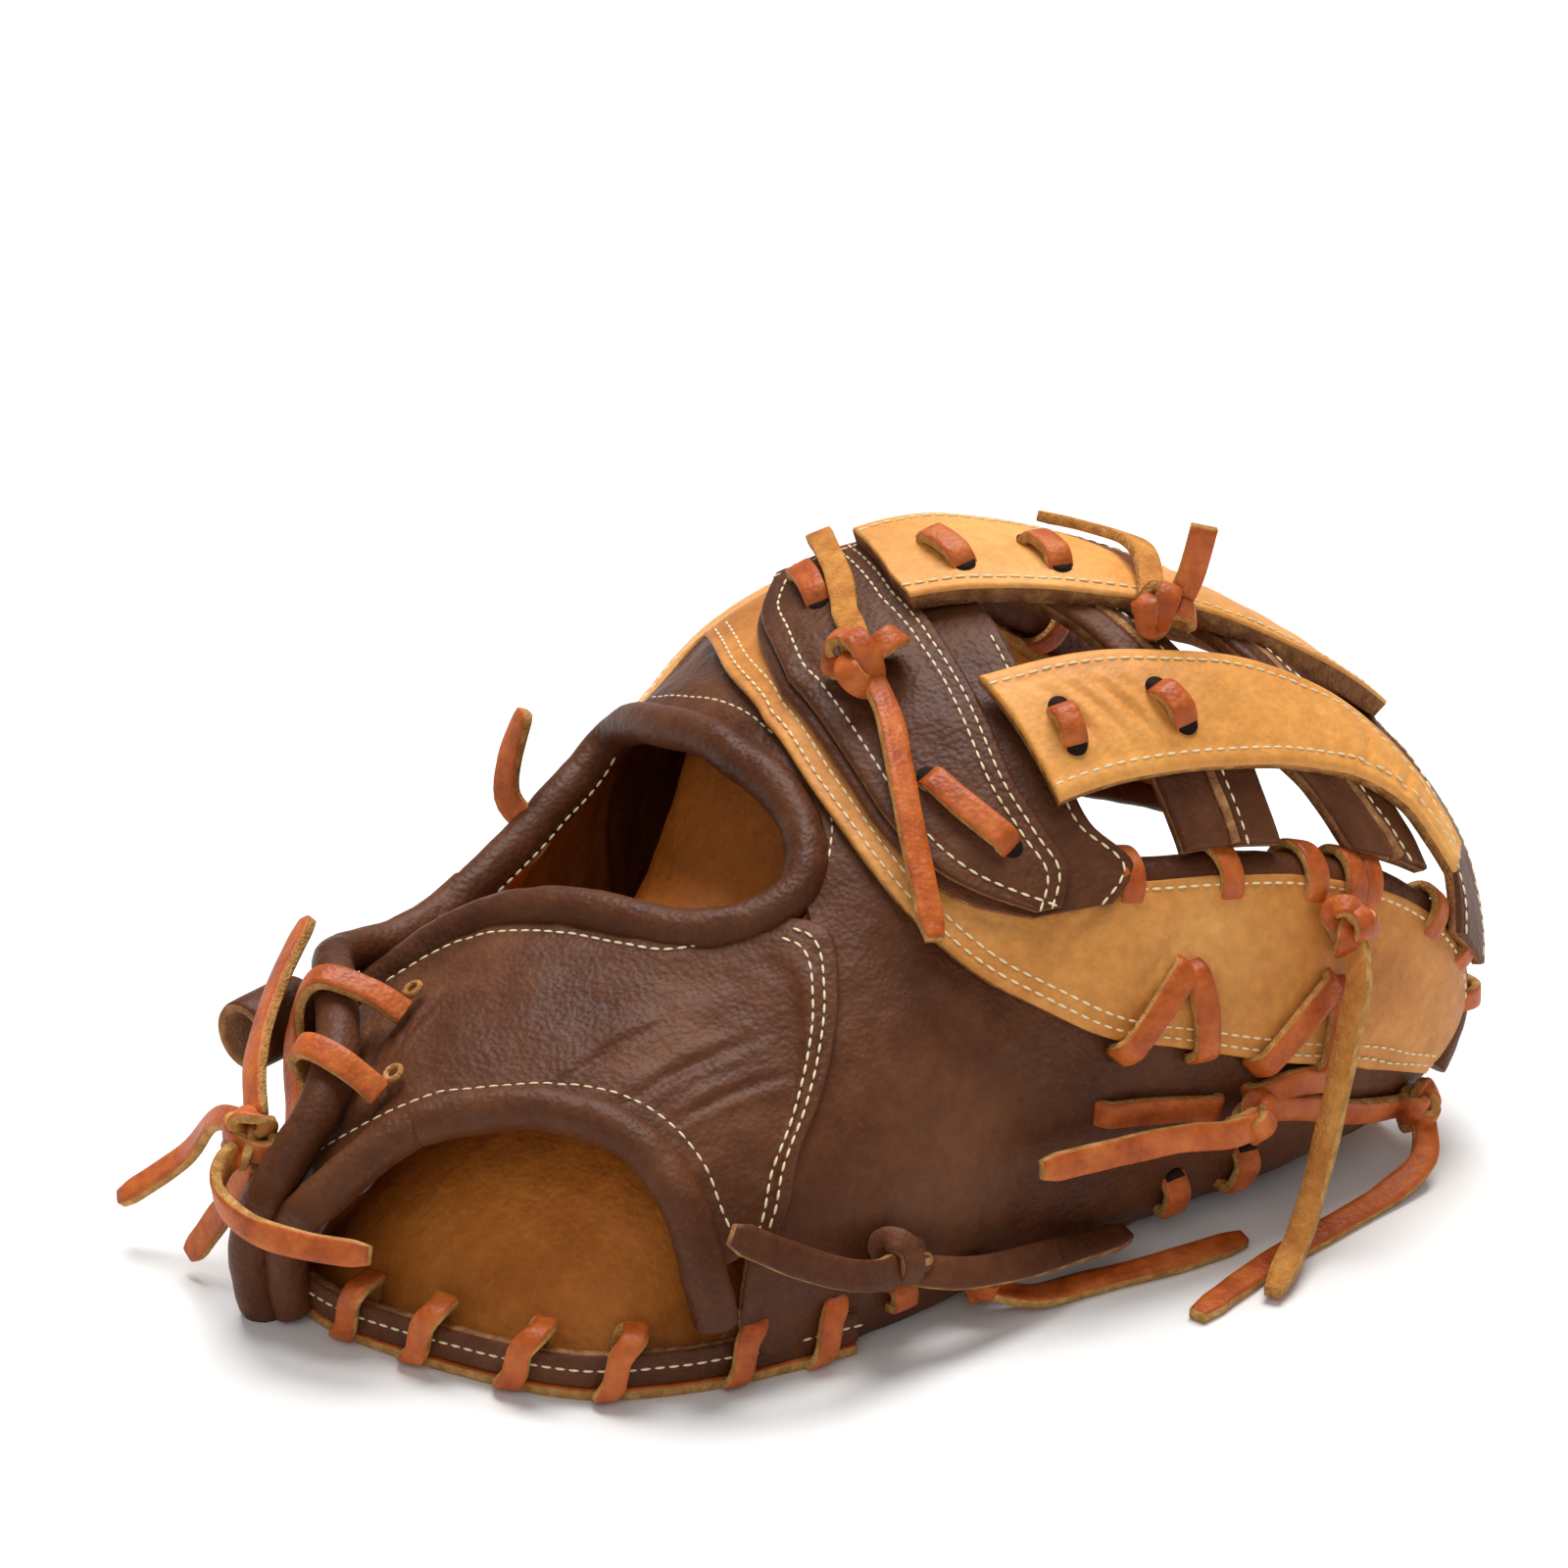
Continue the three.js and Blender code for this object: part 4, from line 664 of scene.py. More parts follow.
# Free lace ends
tieLook = {"width": 7 * mm, "wall": 2.6 * mm}
freeEnds = {  # millimetres before the origin is set, with the flat side's first and last direction
    "web_tail": [[[127, -25, 124], [121, -37, 117.5], [112, -48, 109.5], [104, -58, 100], [93, -73, 84.5]],
                 [-0.3, -0.7, 0.6], [-0.3, -0.7, 0.6]],
    "side_tail": [[[151, -119, 31.5], [141, -117.5, 32.5], [128, -111.5, 34.5], [98, -99, 35.5]],
                  [0, -1, 0.2], [0, -1, 0.2]],
    "tip_tail": [[[207, -126, 13], [200, -131.5, 6.5], [188, -131, 2.8], [170, -129.5, 2], [146, -127.5, 1.8],
                  [117, -128, 1.7]], [0, -0.5, 1], [0, 0, 1]],
    "thumb_tail": [[[179, -122, 70], [174, -128, 61], [170, -128.5, 48], [165, -129, 33], [160, -129, 18],
                    [151, -131, 7.5], [134, -136, 2.4]], [0.9, -0.1, -0.3], [0.3, 0.1, -0.95]],
    "tie_tail_wrist": [[[64, -88, 23.5], [54, -90, 26], [45, -87.5, 29.5], [35, -82, 35.5], [25, -74, 43]],
                       [-0.2, -0.9, 0.4], [-0.2, -0.9, 0.4]],
    "tie_tail_tip": [[[65, -88.5, 22], [76, -94, 18], [90, -97, 14.5], [108, -99, 11], [126, -102, 8.5]],
                     [0, -0.9, 0.4], [0, -0.3, 1]],
    "rim_tail": [[[89, -91, 7.5], [98, -97.5, 3.6], [111, -101.5, 2.1], [130, -110, 2], [150, -117, 2]],
                 [0, -0.2, 1], [0, -0.2, 1]],
    "wrist_tail_up": [[[-6, 34, 45], [4, 44, 52], [21, 54.5, 59], [38, 61, 67]], [-0.7, 0.4, 0.6], [-0.7, 0.4, 0.6]],
    "wrist_tail_out": [[[-7, 37, 43], [-3, 50, 38], [-2, 62, 24], [-9, 76, 11]], [-0.5, 0, 0.8], [-0.5, 0, 0.8]],
    "wrist_tail_down": [[[-7, 36, 36], [-7, 39, 28], [-7, 47, 16], [-9, 54, 5]], [-0.9, 0, 0.4], [-0.9, 0, 0.4]],
    "wrist_tail_across": [[[-8, 35, 39], [-15, 35.5, 37], [-21, 31, 34], [-23, 20, 31], [-20, 7, 30], [-14, -7, 30]],
                          [0, 1, 0], [-0.9, -0.1, 0.3]],
    "back_end": [[[102, 52.5, 69.5], [101, 58.5, 75], [103, 59.5, 84], [107, 58, 95]],
                 [-0.8, -0.4, 0.3], [-0.8, 0.4, 0.3]],
}


def makeFreeEnds():
    for name, (points, first, last) in freeEnds.items():
        tie = name.startswith("tie")
        look = tieLook if tie else laceLook
        centres = smoothLine(place(points), 1.6 * mm)
        share = np.linspace(0, 1, len(centres))[:, None]
        ups = np.array(first) * (1 - share) + np.array(last) * share
        piece = bar(name + "_lace", centres, ups, look["width"], look["wall"], brownTie if tie else laceFinish,
                    taper=0.35, wobble=0.1)
        run = np.linalg.norm(np.diff(centres, axis=0), axis=1).sum()
        if run > max(0.03, 6 * look["width"]) * 1.02:
            route = smoothLine(place(points), run / 24)
        keep(piece, "brown_leather" if tie else "lace_leather", name)
        print(name, round(run / mm), "mm")


makeFreeEnds()

# Leather panels: a row runs from side A (u, v) to side B (u, v), with a rise in mm
backLayer = {"low": -2.6, "high": 0}
thumbBack = dict(backLayer, finish=[brown, suede, brownRaw], puff=1.1, ripple=0.45, seed=1, cell=1.8, rows=[
    [0.19, -1, 0.63, -1], [0.14, -0.9, 0.675, -0.88], [0.106, -0.76, 0.746, -0.76], [0.122, -0.58, 0.768, -0.68],
    [0.158, -0.49, 0.73, -0.6], [0.192, -0.43, 0.66, -0.533], [0.224, -0.37, 0.55, -0.475],
    [0.255, -0.305, 0.46, -0.415], [0.282, -0.235, 0.445, -0.3], [0.302, -0.183, 0.44, -0.2],
    [0.333, -0.14, 0.445, -0.11], [0.36, -0.05, 0.46, -0.02], [0.376, 0.05, 0.475, 0.07], [0.393, 0.2, 0.495, 0.2],
    [0.42, 0.355, 0.52, 0.34]], creases=[
    [0.2, -0.56, 0.19, -0.84, 2.2, 0.8], [0.26, -0.5, 0.25, -0.82, 2.4, 0.7], [0.33, -0.5, 0.34, -0.86, 2.2, 0.7],
    [0.4, -0.66, 0.42, -0.92, 2, 0.6], [0.5, -0.78, 0.52, -0.94, 2.2, 0.6], [0.3, -0.32, 0.3, -0.52, 1.8, 0.5]],
    dents=[[0.33, -0.62, 16, 1.6], [0.5, -0.84, 14, 1.3]])
strap = dict(backLayer, finish=[brown, suede, brownRaw], puff=0.9, ripple=0.5, seed=4, cell=1.5,
             grooves=[["A", 4.2], ["A", 7.4]], lap={"from": 0.0, "to": 0.48, "reach": 12, "height": 2.2}, rows=[
    [0.139, -0.605, 0.087, -0.62], [0.168, -0.503, 0.088, -0.5], [0.203, -0.442, 0.093, -0.42],
    [0.235, -0.383, 0.095, -0.35], [0.266, -0.318, 0.094, -0.29], [0.288, -0.248, 0.088, -0.22],
    [0.27, -0.17, 0.075, -0.15], [0.235, -0.11, 0.055, -0.08], [0.22, 0, 0.03, 0], [0.21, 0.11, 0.01, 0.07],
    [0.195, 0.24, -0.008, 0.16], [0.165, 0.345, -0.022, 0.28], [0.14, 0.41, -0.028, 0.41]], creases=[
    [0.04, 0.3, 0.12, 0.27, 1.5, 0.9], [0.03, 0.24, 0.13, 0.21, 1.4, 0.8], [0.06, 0.17, 0.14, 0.15, 1.3, 0.7],
    [0.05, 0.27, 0.09, 0.26, 0.9, 0.5], [0.07, 0.2, 0.11, 0.19, 0.9, 0.5], [0.02, 0.18, 0.08, 0.13, 1.0, 0.5],
    [0.1, -0.24, 0.2, -0.3, 1.6, 0.8], [0.12, -0.32, 0.2, -0.38, 1.5, 0.6], [0.09, -0.14, 0.17, -0.19, 1.4, 0.6]],
    dents=[[0.1, 0.24, 9, 1.0]])
fingerSide = dict(backLayer, finish=[brown, suede, brownRaw], puff=1.0, ripple=0.4, seed=7, rows=[
    [-0.03, 0.43, -0.03, 1], [0.02, 0.43, 0.02, 1], [0.07, 0.43, 0.07, 1], [0.12, 0.43, 0.12, 1],
    [0.16, 0.44, 0.16, 1], [0.196, 0.45, 0.196, 1]], creases=[
    [0.03, 0.5, 0.05, 0.9, 2.2, 0.8], [0.09, 0.52, 0.1, 0.95, 2.4, 0.7], [0.15, 0.5, 0.15, 0.85, 2, 0.6]])
fingerBack = dict(backLayer, finish=[tan, lining, tanRaw], puff=1.3, ripple=0.35, seed=11, cell=2.2, rows=[
    [0.2, 0.45, 0.2, 1], [0.28, 0.44, 0.28, 1], [0.36, 0.425, 0.36, 1], [0.42, 0.385, 0.42, 1],
    [0.48, 0.375, 0.48, 1], [0.525, 0.35, 0.53, 1], [0.535, 0.24, 0.57, 1], [0.57, 0.2, 0.61, 1],
    [0.64, 0.18, 0.68, 1], [0.74, 0.155, 0.77, 1], [0.84, 0.14, 0.86, 1], [0.92, 0.12, 0.93, 1],
    [0.97, 0.09, 0.97, 1]], creases=[
    [0.34, 0.55, 0.33, 0.9, 2.4, 0.8], [0.5, 0.5, 0.52, 0.9, 2.4, 0.7], [0.68, 0.4, 0.7, 0.85, 2.6, 0.8],
    [0.84, 0.35, 0.86, 0.8, 2.4, 0.7]])
# The overlay band's outer face has the darker tan of painted shade
overlay = {"low": 0.9, "high": 3.4, "finish": [tanShadePainted, tanRaw, tanRaw], "puff": 0.5, "ripple": 0.25, "seed": 15,
           "cell": 1.4, "grooves": [["A", 2.6], ["A", 5.6], ["B", 3.0]], "rows": [
    [0.493, 0.275, 0.535, 0.2], [0.433, 0.147, 0.5, 0.08], [0.395, 0.008, 0.47, -0.02], [0.362, -0.1, 0.447, -0.11],
    [0.34, -0.215, 0.435, -0.2], [0.333, -0.3, 0.428, -0.29], [0.337, -0.385, 0.436, -0.36],
    [0.355, -0.465, 0.46, -0.418], [0.403, -0.573, 0.533, -0.468], [0.458, -0.627, 0.61, -0.51],
    [0.537, -0.682, 0.687, -0.555], [0.627, -0.722, 0.74, -0.622], [0.693, -0.765, 0.762, -0.7]], "creases": [
    [0.4, -0.46, 0.46, -0.43, 1.2, 0.5], [0.44, -0.55, 0.5, -0.5, 1.2, 0.5], [0.36, -0.32, 0.42, -0.32, 1.3, 0.4]]}
basePanel = {"low": 6.2, "high": 8.3, "finish": [brown, brownRaw, brownRaw], "puff": 0.5, "ripple": 0.3, "seed": 19,
             "cell": 1.3, "grooves": [["A", 4.5], ["B", 2.4], ["B", 5.0]], "rows": [
    [0.396, -0.402, 0.412, -0.412], [0.374, -0.348, 0.43, -0.378], [0.362, -0.287, 0.433, -0.326],
    [0.366, -0.21, 0.442, -0.255], [0.383, -0.13, 0.467, -0.168], [0.407, -0.043, 0.494, -0.085],
    [0.44, 0.06, 0.518, -0.017], [0.475, 0.137, 0.541, 0.05], [0.525, 0.18, 0.563, 0.115]], "creases": [
    [0.4, 0.0, 0.44, -0.02, 1.5, 0.5], [0.45, 0.02, 0.47, -0.03, 1.2, 0.4]]}
baseUnder = {"low": 3.9, "high": 5.9, "finish": [brown, brownRaw, brownRaw], "puff": 0.4, "ripple": 0.3, "seed": 23,
             "cell": 1.5, "grooves": [["B", 2.6]], "rows": [
    [0.394, -0.406, 0.445, -0.438], [0.367, -0.352, 0.472, -0.41], [0.355, -0.287, 0.463, -0.345],
    [0.359, -0.208, 0.475, -0.275], [0.376, -0.127, 0.502, -0.18], [0.4, -0.039, 0.531, -0.095],
    [0.433, 0.064, 0.55, -0.03], [0.469, 0.142, 0.564, 0.035], [0.52, 0.187, 0.575, 0.1]]}
nearPost = {"low": 9.1, "high": 12.7, "finish": [tan, tanRaw, tanRaw], "puff": 0.5, "ripple": 0.3, "seed": 27,
            "cell": 1.2, "edgeRadius": 1.6, "grooves": [["A", 3.2], ["B", 3.4]], "rows": [
    [0.477, -0.15, 0.448, -0.315, 0], [0.513, -0.172, 0.49, -0.328, -0.5], [0.547, -0.195, 0.53, -0.348, -1.5],
    [0.59, -0.232, 0.573, -0.372, -2.2], [0.642, -0.262, 0.615, -0.392, -2.2], [0.688, -0.3, 0.66, -0.412, -2.2],
    [0.714, -0.362, 0.69, -0.445, -2], [0.725, -0.435, 0.7, -0.488, -1.4], [0.728, -0.5, 0.708, -0.53, -0.8]],
            "creases": [[0.497, -0.205, 0.495, -0.3, 0.9, 0.8], [0.512, -0.21, 0.512, -0.31, 0.8, 0.7],
                        [0.526, -0.22, 0.53, -0.32, 0.9, 0.8], [0.54, -0.22, 0.543, -0.3, 0.8, 0.5],
                        [0.66, -0.3, 0.64, -0.38, 1.2, 0.7], [0.69, -0.35, 0.66, -0.41, 1.1, 0.7],
                        [0.712, -0.4, 0.68, -0.44, 1.1, 0.7]]}
farPost = {"low": 7.6, "high": 12.7, "finish": [tan, brownRaw, brownRaw], "puff": 0.5, "ripple": 0.3, "seed": 31,
           "cell": 1.3, "edgeRadius": 1.2, "grooves": [["A", 3.2], ["B", 3.0]], "rows": [
    [0.558, 0.11, 0.508, -0.03, 0], [0.59, 0.075, 0.53, -0.055, -0.5], [0.62, 0.035, 0.562, -0.1, -1.5],
    [0.66, 0, 0.598, -0.15, -2], [0.71, -0.045, 0.65, -0.185, -2], [0.76, -0.09, 0.7, -0.215, -2],
    [0.81, -0.13, 0.75, -0.245, -1], [0.85, -0.155, 0.79, -0.27, 0]]}
tipStrap = {"low": 4.3, "high": 7.3, "finish": [brown, brownRaw, brownRaw], "puff": 0.6, "ripple": 0.4, "seed": 35,
            "cell": 1.4, "edgeRadius": 1.2, "grooves": [["A", 3], ["B", 3]], "rows": [
    [0.762, -0.66, 0.716, -0.6], [0.785, -0.56, 0.736, -0.52], [0.81, -0.43, 0.762, -0.4], [0.84, -0.28, 0.79, -0.25],
    [0.88, -0.13, 0.828, -0.11], [0.925, 0, 0.868, 0.02], [0.965, 0.16, 0.905, 0.17]]}
rungs = {
    "web_rung_thumb_1": [[0.522, -0.33, 0.59, -0.36], [0.516, -0.37, 0.584, -0.4], [0.509, -0.425, 0.578, -0.46]],
    "web_rung_thumb_2": [[0.615, -0.37, 0.69, -0.4], [0.628, -0.425, 0.7, -0.46], [0.638, -0.485, 0.706, -0.52]],
    "web_rung_middle_1": [[0.57, -0.07, 0.606, -0.09], [0.568, -0.15, 0.61, -0.17], [0.558, -0.24, 0.602, -0.26]],
    "web_rung_middle_2": [[0.665, -0.15, 0.7, -0.17], [0.662, -0.22, 0.7, -0.245], [0.655, -0.3, 0.69, -0.33]],
    "web_rung_finger_1": [[0.605, 0.02, 0.66, -0.02], [0.6, 0.09, 0.658, 0.07], [0.598, 0.155, 0.656, 0.14]],
    "web_rung_finger_2": [[0.73, -0.1, 0.79, -0.13], [0.735, 0.01, 0.795, 0], [0.74, 0.12, 0.8, 0.11]]}

stitchRows = [  # panel, group, side, inset in mm, first and last share of the side
    [overlay, "backStitches", "A", 2.6, 0.02, 0.98], [overlay, "backStitches", "A", 5.6, 0.02, 0.98],
    [overlay, "backStitches", "B", 3.0, 0.3, 0.98], [strap, "backStitches", "A", 7.5, 0.5, 0.95],
    [strap, "backStitches", "A", 4.2, 0.03, 0.44], [strap, "backStitches", "A", 7.4, 0.03, 0.44],
    [thumbBack, "backStitches", "A", 8, 0.66, 0.97], [strap, "backStitches", "B", 7.5, 0.06, 0.97],
    [fingerSide, "backStitches", "start", 8, 0.05, 0.9], [fingerBack, "backStitches", "A", 5, 0.03, 0.97],
    [fingerBack, "backStitches", "A", 8, 0.2, 0.97], [basePanel, "webStitches", "A", 4.5, 0.02, 0.98],
    [basePanel, "webStitches", "B", 2.4, 0.02, 0.98], [basePanel, "webStitches", "B", 5.0, 0.02, 0.98],
    [basePanel, "webStitches", "end", 3.0, 0.05, 0.95], [baseUnder, "webStitches", "B", 2.6, 0.02, 0.6],
    [nearPost, "webStitches", "A", 3.2, 0.02, 0.95], [nearPost, "webStitches", "B", 3.4, 0.02, 0.98],
    [farPost, "webStitches", "A", 3.2, 0.02, 0.98], [farPost, "webStitches", "B", 3.0, 0.02, 0.98],
    [tipStrap, "webStitches", "A", 3, 0.03, 0.97], [tipStrap, "webStitches", "B", 3, 0.03, 0.97]]


def makePanels():
    keep(panel("thumbBackPanel", thumbBack), "brown_leather", "thumb_back")
    keep(panel("wristStrapPanel", strap), "brown_leather", "wrist_strap")
    keep(panel("fingerSidePanel", fingerSide), "brown_leather", "finger_side")
    keep(panel("fingerBackPanel", fingerBack), "tan_leather", "finger_back")
    keep(panel("overlayBand", overlay), "tan_leather", "overlay_panel")
    base = joinPieces("webBase", [panel("webBase", basePanel), panel("webBaseUnder", baseUnder)])
    keep(base, "brown_leather", "web_base_panel")
    keep(panel("nearPost", nearPost), "tan_leather", "web_post_near")
    keep(panel("farPost", farPost), "tan_leather", "web_post_far")
    keep(panel("tipStrapPanel", tipStrap), "brown_leather", "web_tip_strap")
    for i, (name, rows) in enumerate(rungs.items()):
        look = {"low": 1.6, "high": 6.2, "finish": [brown, brownRaw, brownRaw], "puff": 0.5, "ripple": 0.4,
                "seed": 41 + i, "cell": 1.1, "edgeRadius": 2.2, "rows": rows, "pinEdges": False, "seam": 1.6}
        half = panelSize(rows)[1] / mm / 2
        line, ups = panelLine(look, "A", half, 0.03, 0.97, lift=-0.7)
        seam = bar("seam", line, ups, 2.2 * mm, 2.6 * mm, [brownRaw, brownRaw, brownRaw], wobble=0.25)
        keep(joinPieces(name + "_fold", [panel(name + "_fold", look), seam]), "brown_leather", name)
        stitch("webStitches", look, "A", half + 2.6, 0.06, 0.94, lift=0.6)
    for look, group, side, inset, a, b in stitchRows:
        stitch(group, look, side, inset, a, b)


makePanels()
print("leather panels are made")

# Palm
palm = {"start": 0.22, "end": 0.965, "wall": 8, "cover": 3.2, "handRoom": 28, "rimRise": 0.34, "webRise": 0.3,
        "heel": [  # v, then the place of the heel's rim as shares of the length and the width
    [-1, 0.15, -0.332], [-0.8, 0.097, -0.294], [-0.6, 0.047, -0.238], [-0.4, 0.02, -0.178], [-0.2, 0, -0.084],
    [0, -0.01, -0.01], [0.2, -0.014, 0.05], [0.4, -0.01, 0.1], [0.6, 0.003, 0.142], [0.8, 0.04, 0.185],
    [1, 0.1, 0.232]]}
thumbWebEdge = [[0.455, -0.41], [0.5, -0.445], [0.55, -0.475], [0.608, -0.507], [0.66, -0.533], [0.71, -0.575],
                [0.745, -0.625], [0.768, -0.69], [0.764, -0.75], [0.74, -0.8]]
fingerWebEdge = [[0.53, 0.24], [0.56, 0.2], [0.62, 0.185], [0.7, 0.165], [0.78, 0.15], [0.86, 0.14], [0.93, 0.12],
                 [0.965, 0.1]]


def palmDepth(u, v):
    fromRidge = np.abs(v)
    thumbEdge = np.abs(keyedRow(thumbWebEdge[:8], np.maximum(u, thumbWebEdge[0][0]))[..., 1])
    fingerEdge = np.abs(keyedRow(fingerWebEdge, np.maximum(u, fingerWebEdge[0][0]))[..., 1])
    edge = np.where(v < 0, thumbEdge, fingerEdge)
    closing = smoothRise((u - 0.36) / 0.16)
    opened = 1 - closing * (1 - smoothRise((fromRidge - edge) / palm["webRise"]))
    tipAt = np.where(v < 0, 0.77, palm["end"])
    depth = palm["handRoom"] * smoothRise((1 - fromRidge) / palm["rimRise"]) * opened * smoothRise((tipAt - u) / 0.2)
    return (palm["cover"] + depth) * mm


def towardsCore(u, v, depth):
    point = skin(u, v)
    ridgeY = keyedRow(sectionRows, u)[..., 1] * mitt["width"]
    core = np.stack([u * mitt["length"] + mitt["shiftX"], ridgeY + mitt["shiftY"], np.zeros(u.shape)], -1)
    return point + unit(core - point) * depth[..., None]


def palmPoint(reach, v, extra):
    u = palm["start"] + (palm["end"] - palm["start"]) * np.maximum(reach, 0)
    inner = towardsCore(u, v, palmDepth(u, v) + extra)
    row = keyedRow(palm["heel"], v)
    heel = np.stack([row[..., 1] * mitt["length"] + mitt["shiftX"], row[..., 2] * mitt["width"] + mitt["shiftY"],
                     np.zeros(u.shape)], -1)
    centre = np.array([palm["start"] * mitt["length"] + mitt["shiftX"], mitt["shiftY"], 0])
    heel = heel + unit(centre - heel) * np.asarray(extra)[..., None]
    share = np.clip(1 + reach, 0, 1)[..., None]
    point = heel * (1 - share) + inner * share
    height = inner[..., 2] * np.sin(share[..., 0] * np.pi / 2) ** 0.8
    low = reach < 0
    point[..., 2] = np.where(low, height, point[..., 2])
    return np.where(low[..., None], point, inner)


def makePalm():
    webStart, thumbEnd = 0.46, 0.735
    reachOf = lambda u: (u - palm["start"]) / (palm["end"] - palm["start"])
    along = np.concatenate([np.linspace(-1, 0, 44)[:-1], np.linspace(0, reachOf(webStart), 40)[:-1],
                            np.linspace(reachOf(webStart), reachOf(thumbEnd), 44)[:-1],
                            np.linspace(reachOf(thumbEnd), 1, 34)])
    thumbColumns, midColumns, fingerColumns = 40, 26, 48
    grid = []
    for reach in along:
        u = palm["start"] + (palm["end"] - palm["start"]) * max(reach, 0)
        thumbEdge = keyedRow(thumbWebEdge[:8], np.array(max(u, 0.455)))[1] - 0.02
        fingerEdge = keyedRow(fingerWebEdge, np.array(max(u, 0.53)))[1] + 0.02
        grid.append(np.concatenate([np.linspace(-1, thumbEdge, thumbColumns)[:-1],
                                    np.linspace(thumbEdge, fingerEdge, midColumns)[:-1],
                                    np.linspace(fingerEdge, 1, fingerColumns)]))
    v = np.array(grid)
    reach = np.broadcast_to(along[:, None], v.shape).copy()
    u = palm["start"] + (palm["end"] - palm["start"]) * np.maximum(reach, 0)
    still = np.clip((1 - np.abs(v)) / 0.12, 0, 1) * np.clip((reach + 1) / 0.25, 0, 1)
    first = palmPoint(reach, v, np.zeros(v.shape))
    wave = (0.9 * cloudAt(first, 18 * mm, 60) + 0.45 * cloudAt(first, 6 * mm, 61)) * still * mm
    outer = palmPoint(reach, v, 0.2 * mm + np.maximum(wave + 0.5 * mm, 0))
    # The padding thins out towards both tips
    thinning = smoothRise((np.where(v < 0, thumbEnd, palm["end"]) - u) / 0.07)
    inner = palmPoint(reach, v, (2.2 + (palm["wall"] - 2.2) * thinning) * mm + wave * 0.8)
    rows, columns = v.shape
    n = rows * columns
    index = np.arange(n).reshape(rows, columns)
    mid = np.zeros((rows - 1, columns - 1), bool)
    cellReach = (along[:-1] + along[1:]) / 2
    mid[:, thumbColumns - 1:thumbColumns + midColumns - 2] = (cellReach > reachOf(webStart))[:, None]
    mid[:, :thumbColumns - 1] |= (cellReach > reachOf(thumbEnd))[:, None]
    faces, indices, edges = [], [], {}
    for i, j in zip(*np.nonzero(~mid)):
        quad = [index[i, j], index[i + 1, j], index[i + 1, j + 1], index[i, j + 1]]
        faces.append([int(q) for q in quad])
        indices.append(0)
        faces.append([int(q + n) for q in quad[::-1]])
        indices.append(1)
        for a, b in zip(quad, quad[1:] + quad[:1]):
            if (b, a) in edges:
                del edges[(b, a)]
            else:
                edges[(a, b)] = True
    for a, b in edges:
        faces.append([int(a), int(a + n), int(b + n), int(b)])
        indices.append(2)
    points = np.concatenate([outer.reshape(-1, 3), inner.reshape(-1, 3)])
    piece = meshPiece("palmPad", points, faces, [lining, tan, tanRaw], indices)
    shape = bmesh.new()
    shape.from_mesh(piece.data)
    bmesh.ops.delete(shape, geom=[p for p in shape.verts if not p.link_faces], context="VERTS")
    shape.to_mesh(piece.data)
    shape.free()
    keep(piece, "lining_leather", "palm_shell", fill=0.7)


makePalm()
print("palm is made")

# Rolls: rows of u, v and the lift of the centre line in mm
rolls = {
    "opening_roll": {"radius": 5, "lift": -1, "closed": True, "rows": [
        [0.425, 0.39], [0.39, 0.2], [0.372, 0.05], [0.355, -0.06], [0.335, -0.13], [0.305, -0.175], [0.27, -0.17],
        [0.238, -0.12], [0.222, -0.03], [0.212, 0.1], [0.195, 0.24], [0.16, 0.36], [0.145, 0.42], [0.2, 0.45],
        [0.28, 0.44], [0.36, 0.425]]},
    "wrist_roll": {"radius": 5, "lift": -1, "rows": [
        [-0.03, 0.9, -2], [-0.036, 0.74, -1.8], [-0.038, 0.58, -1.6], [-0.038, 0.42, -1.4], [-0.036, 0.28],
        [-0.03, 0.2], [-0.016, 0.12], [0.006, 0.055], [0.022, 0.01], [0.045, -0.05], [0.07, -0.13],
        [0.088, -0.22], [0.095, -0.31], [0.093, -0.43], [0.087, -0.55], [0.086, -0.65], [0.09, -0.73]]},
    "thumb_roll": {"radius": 5.3, "lift": -2.2, "rows": thumbWebEdge},
    "finger_roll": {"radius": 4.6, "lift": -3.6, "rows": fingerWebEdge},
    "side_roll": {"radius": 5, "rows": [
        [0.27, 0.445, -0.5], [0.23, 0.45, 0.5], [0.195, 0.45, 3.5], [0.165, 0.435, 8], [0.137, 0.4, 10.4],
        [0.105, 0.33, 9], [0.06, 0.27, 6.4], [0.02, 0.25, 5.8], [-0.008, 0.3, 5.8], [-0.024, 0.4, 5.8],
        [-0.03, 0.54, 5.8], [-0.032, 0.7, 5.7], [-0.028, 0.84, 5], [-0.018, 0.95, 3.4]]}}

sewnPart = {"shares": [0.8, 0.985], "side": [-0.69, -0.58, -0.44], "out": 5.2}


def makeRolls():
    for i, (name, look) in enumerate(rolls.items()):
        rows = [row + [look.get("lift", 0)] * (len(row) == 2) for row in look["rows"]]
        piece = roll(name + "_leather", rows, look["radius"], look.get("closed", False), wrinkle=0.5, seed=i * 7)
        keep(piece, "brown_leather", name)
    # The far roll of the opening is sewn along its inner side
    opening = rolls["opening_roll"]
    line = closedRow(np.array(opening["rows"]), np.linspace(*sewnPart["shares"], 90))
    centres = lifted(line[:, 0], line[:, 1], opening["lift"])
    along = unit(np.gradient(centres, axis=0))
    away = np.array(sewnPart["side"]) - along * (along @ np.array(sewnPart["side"]))[:, None]
    stitchLines["backStitches"].append((centres + unit(away) * sewnPart["out"] * mm, unit(away)))


makeRolls()

trim = {"tipSpan": [0.1, 0.99], "tipLift": -3.4, "tipRadius": 4.0, "holes": [[0.119, 0.203], [0.051, 0.118]],
        "holeLift": 2.7, "holeRadius": 1.9, "rimRadius": 0.8, "rimSteps": 14}


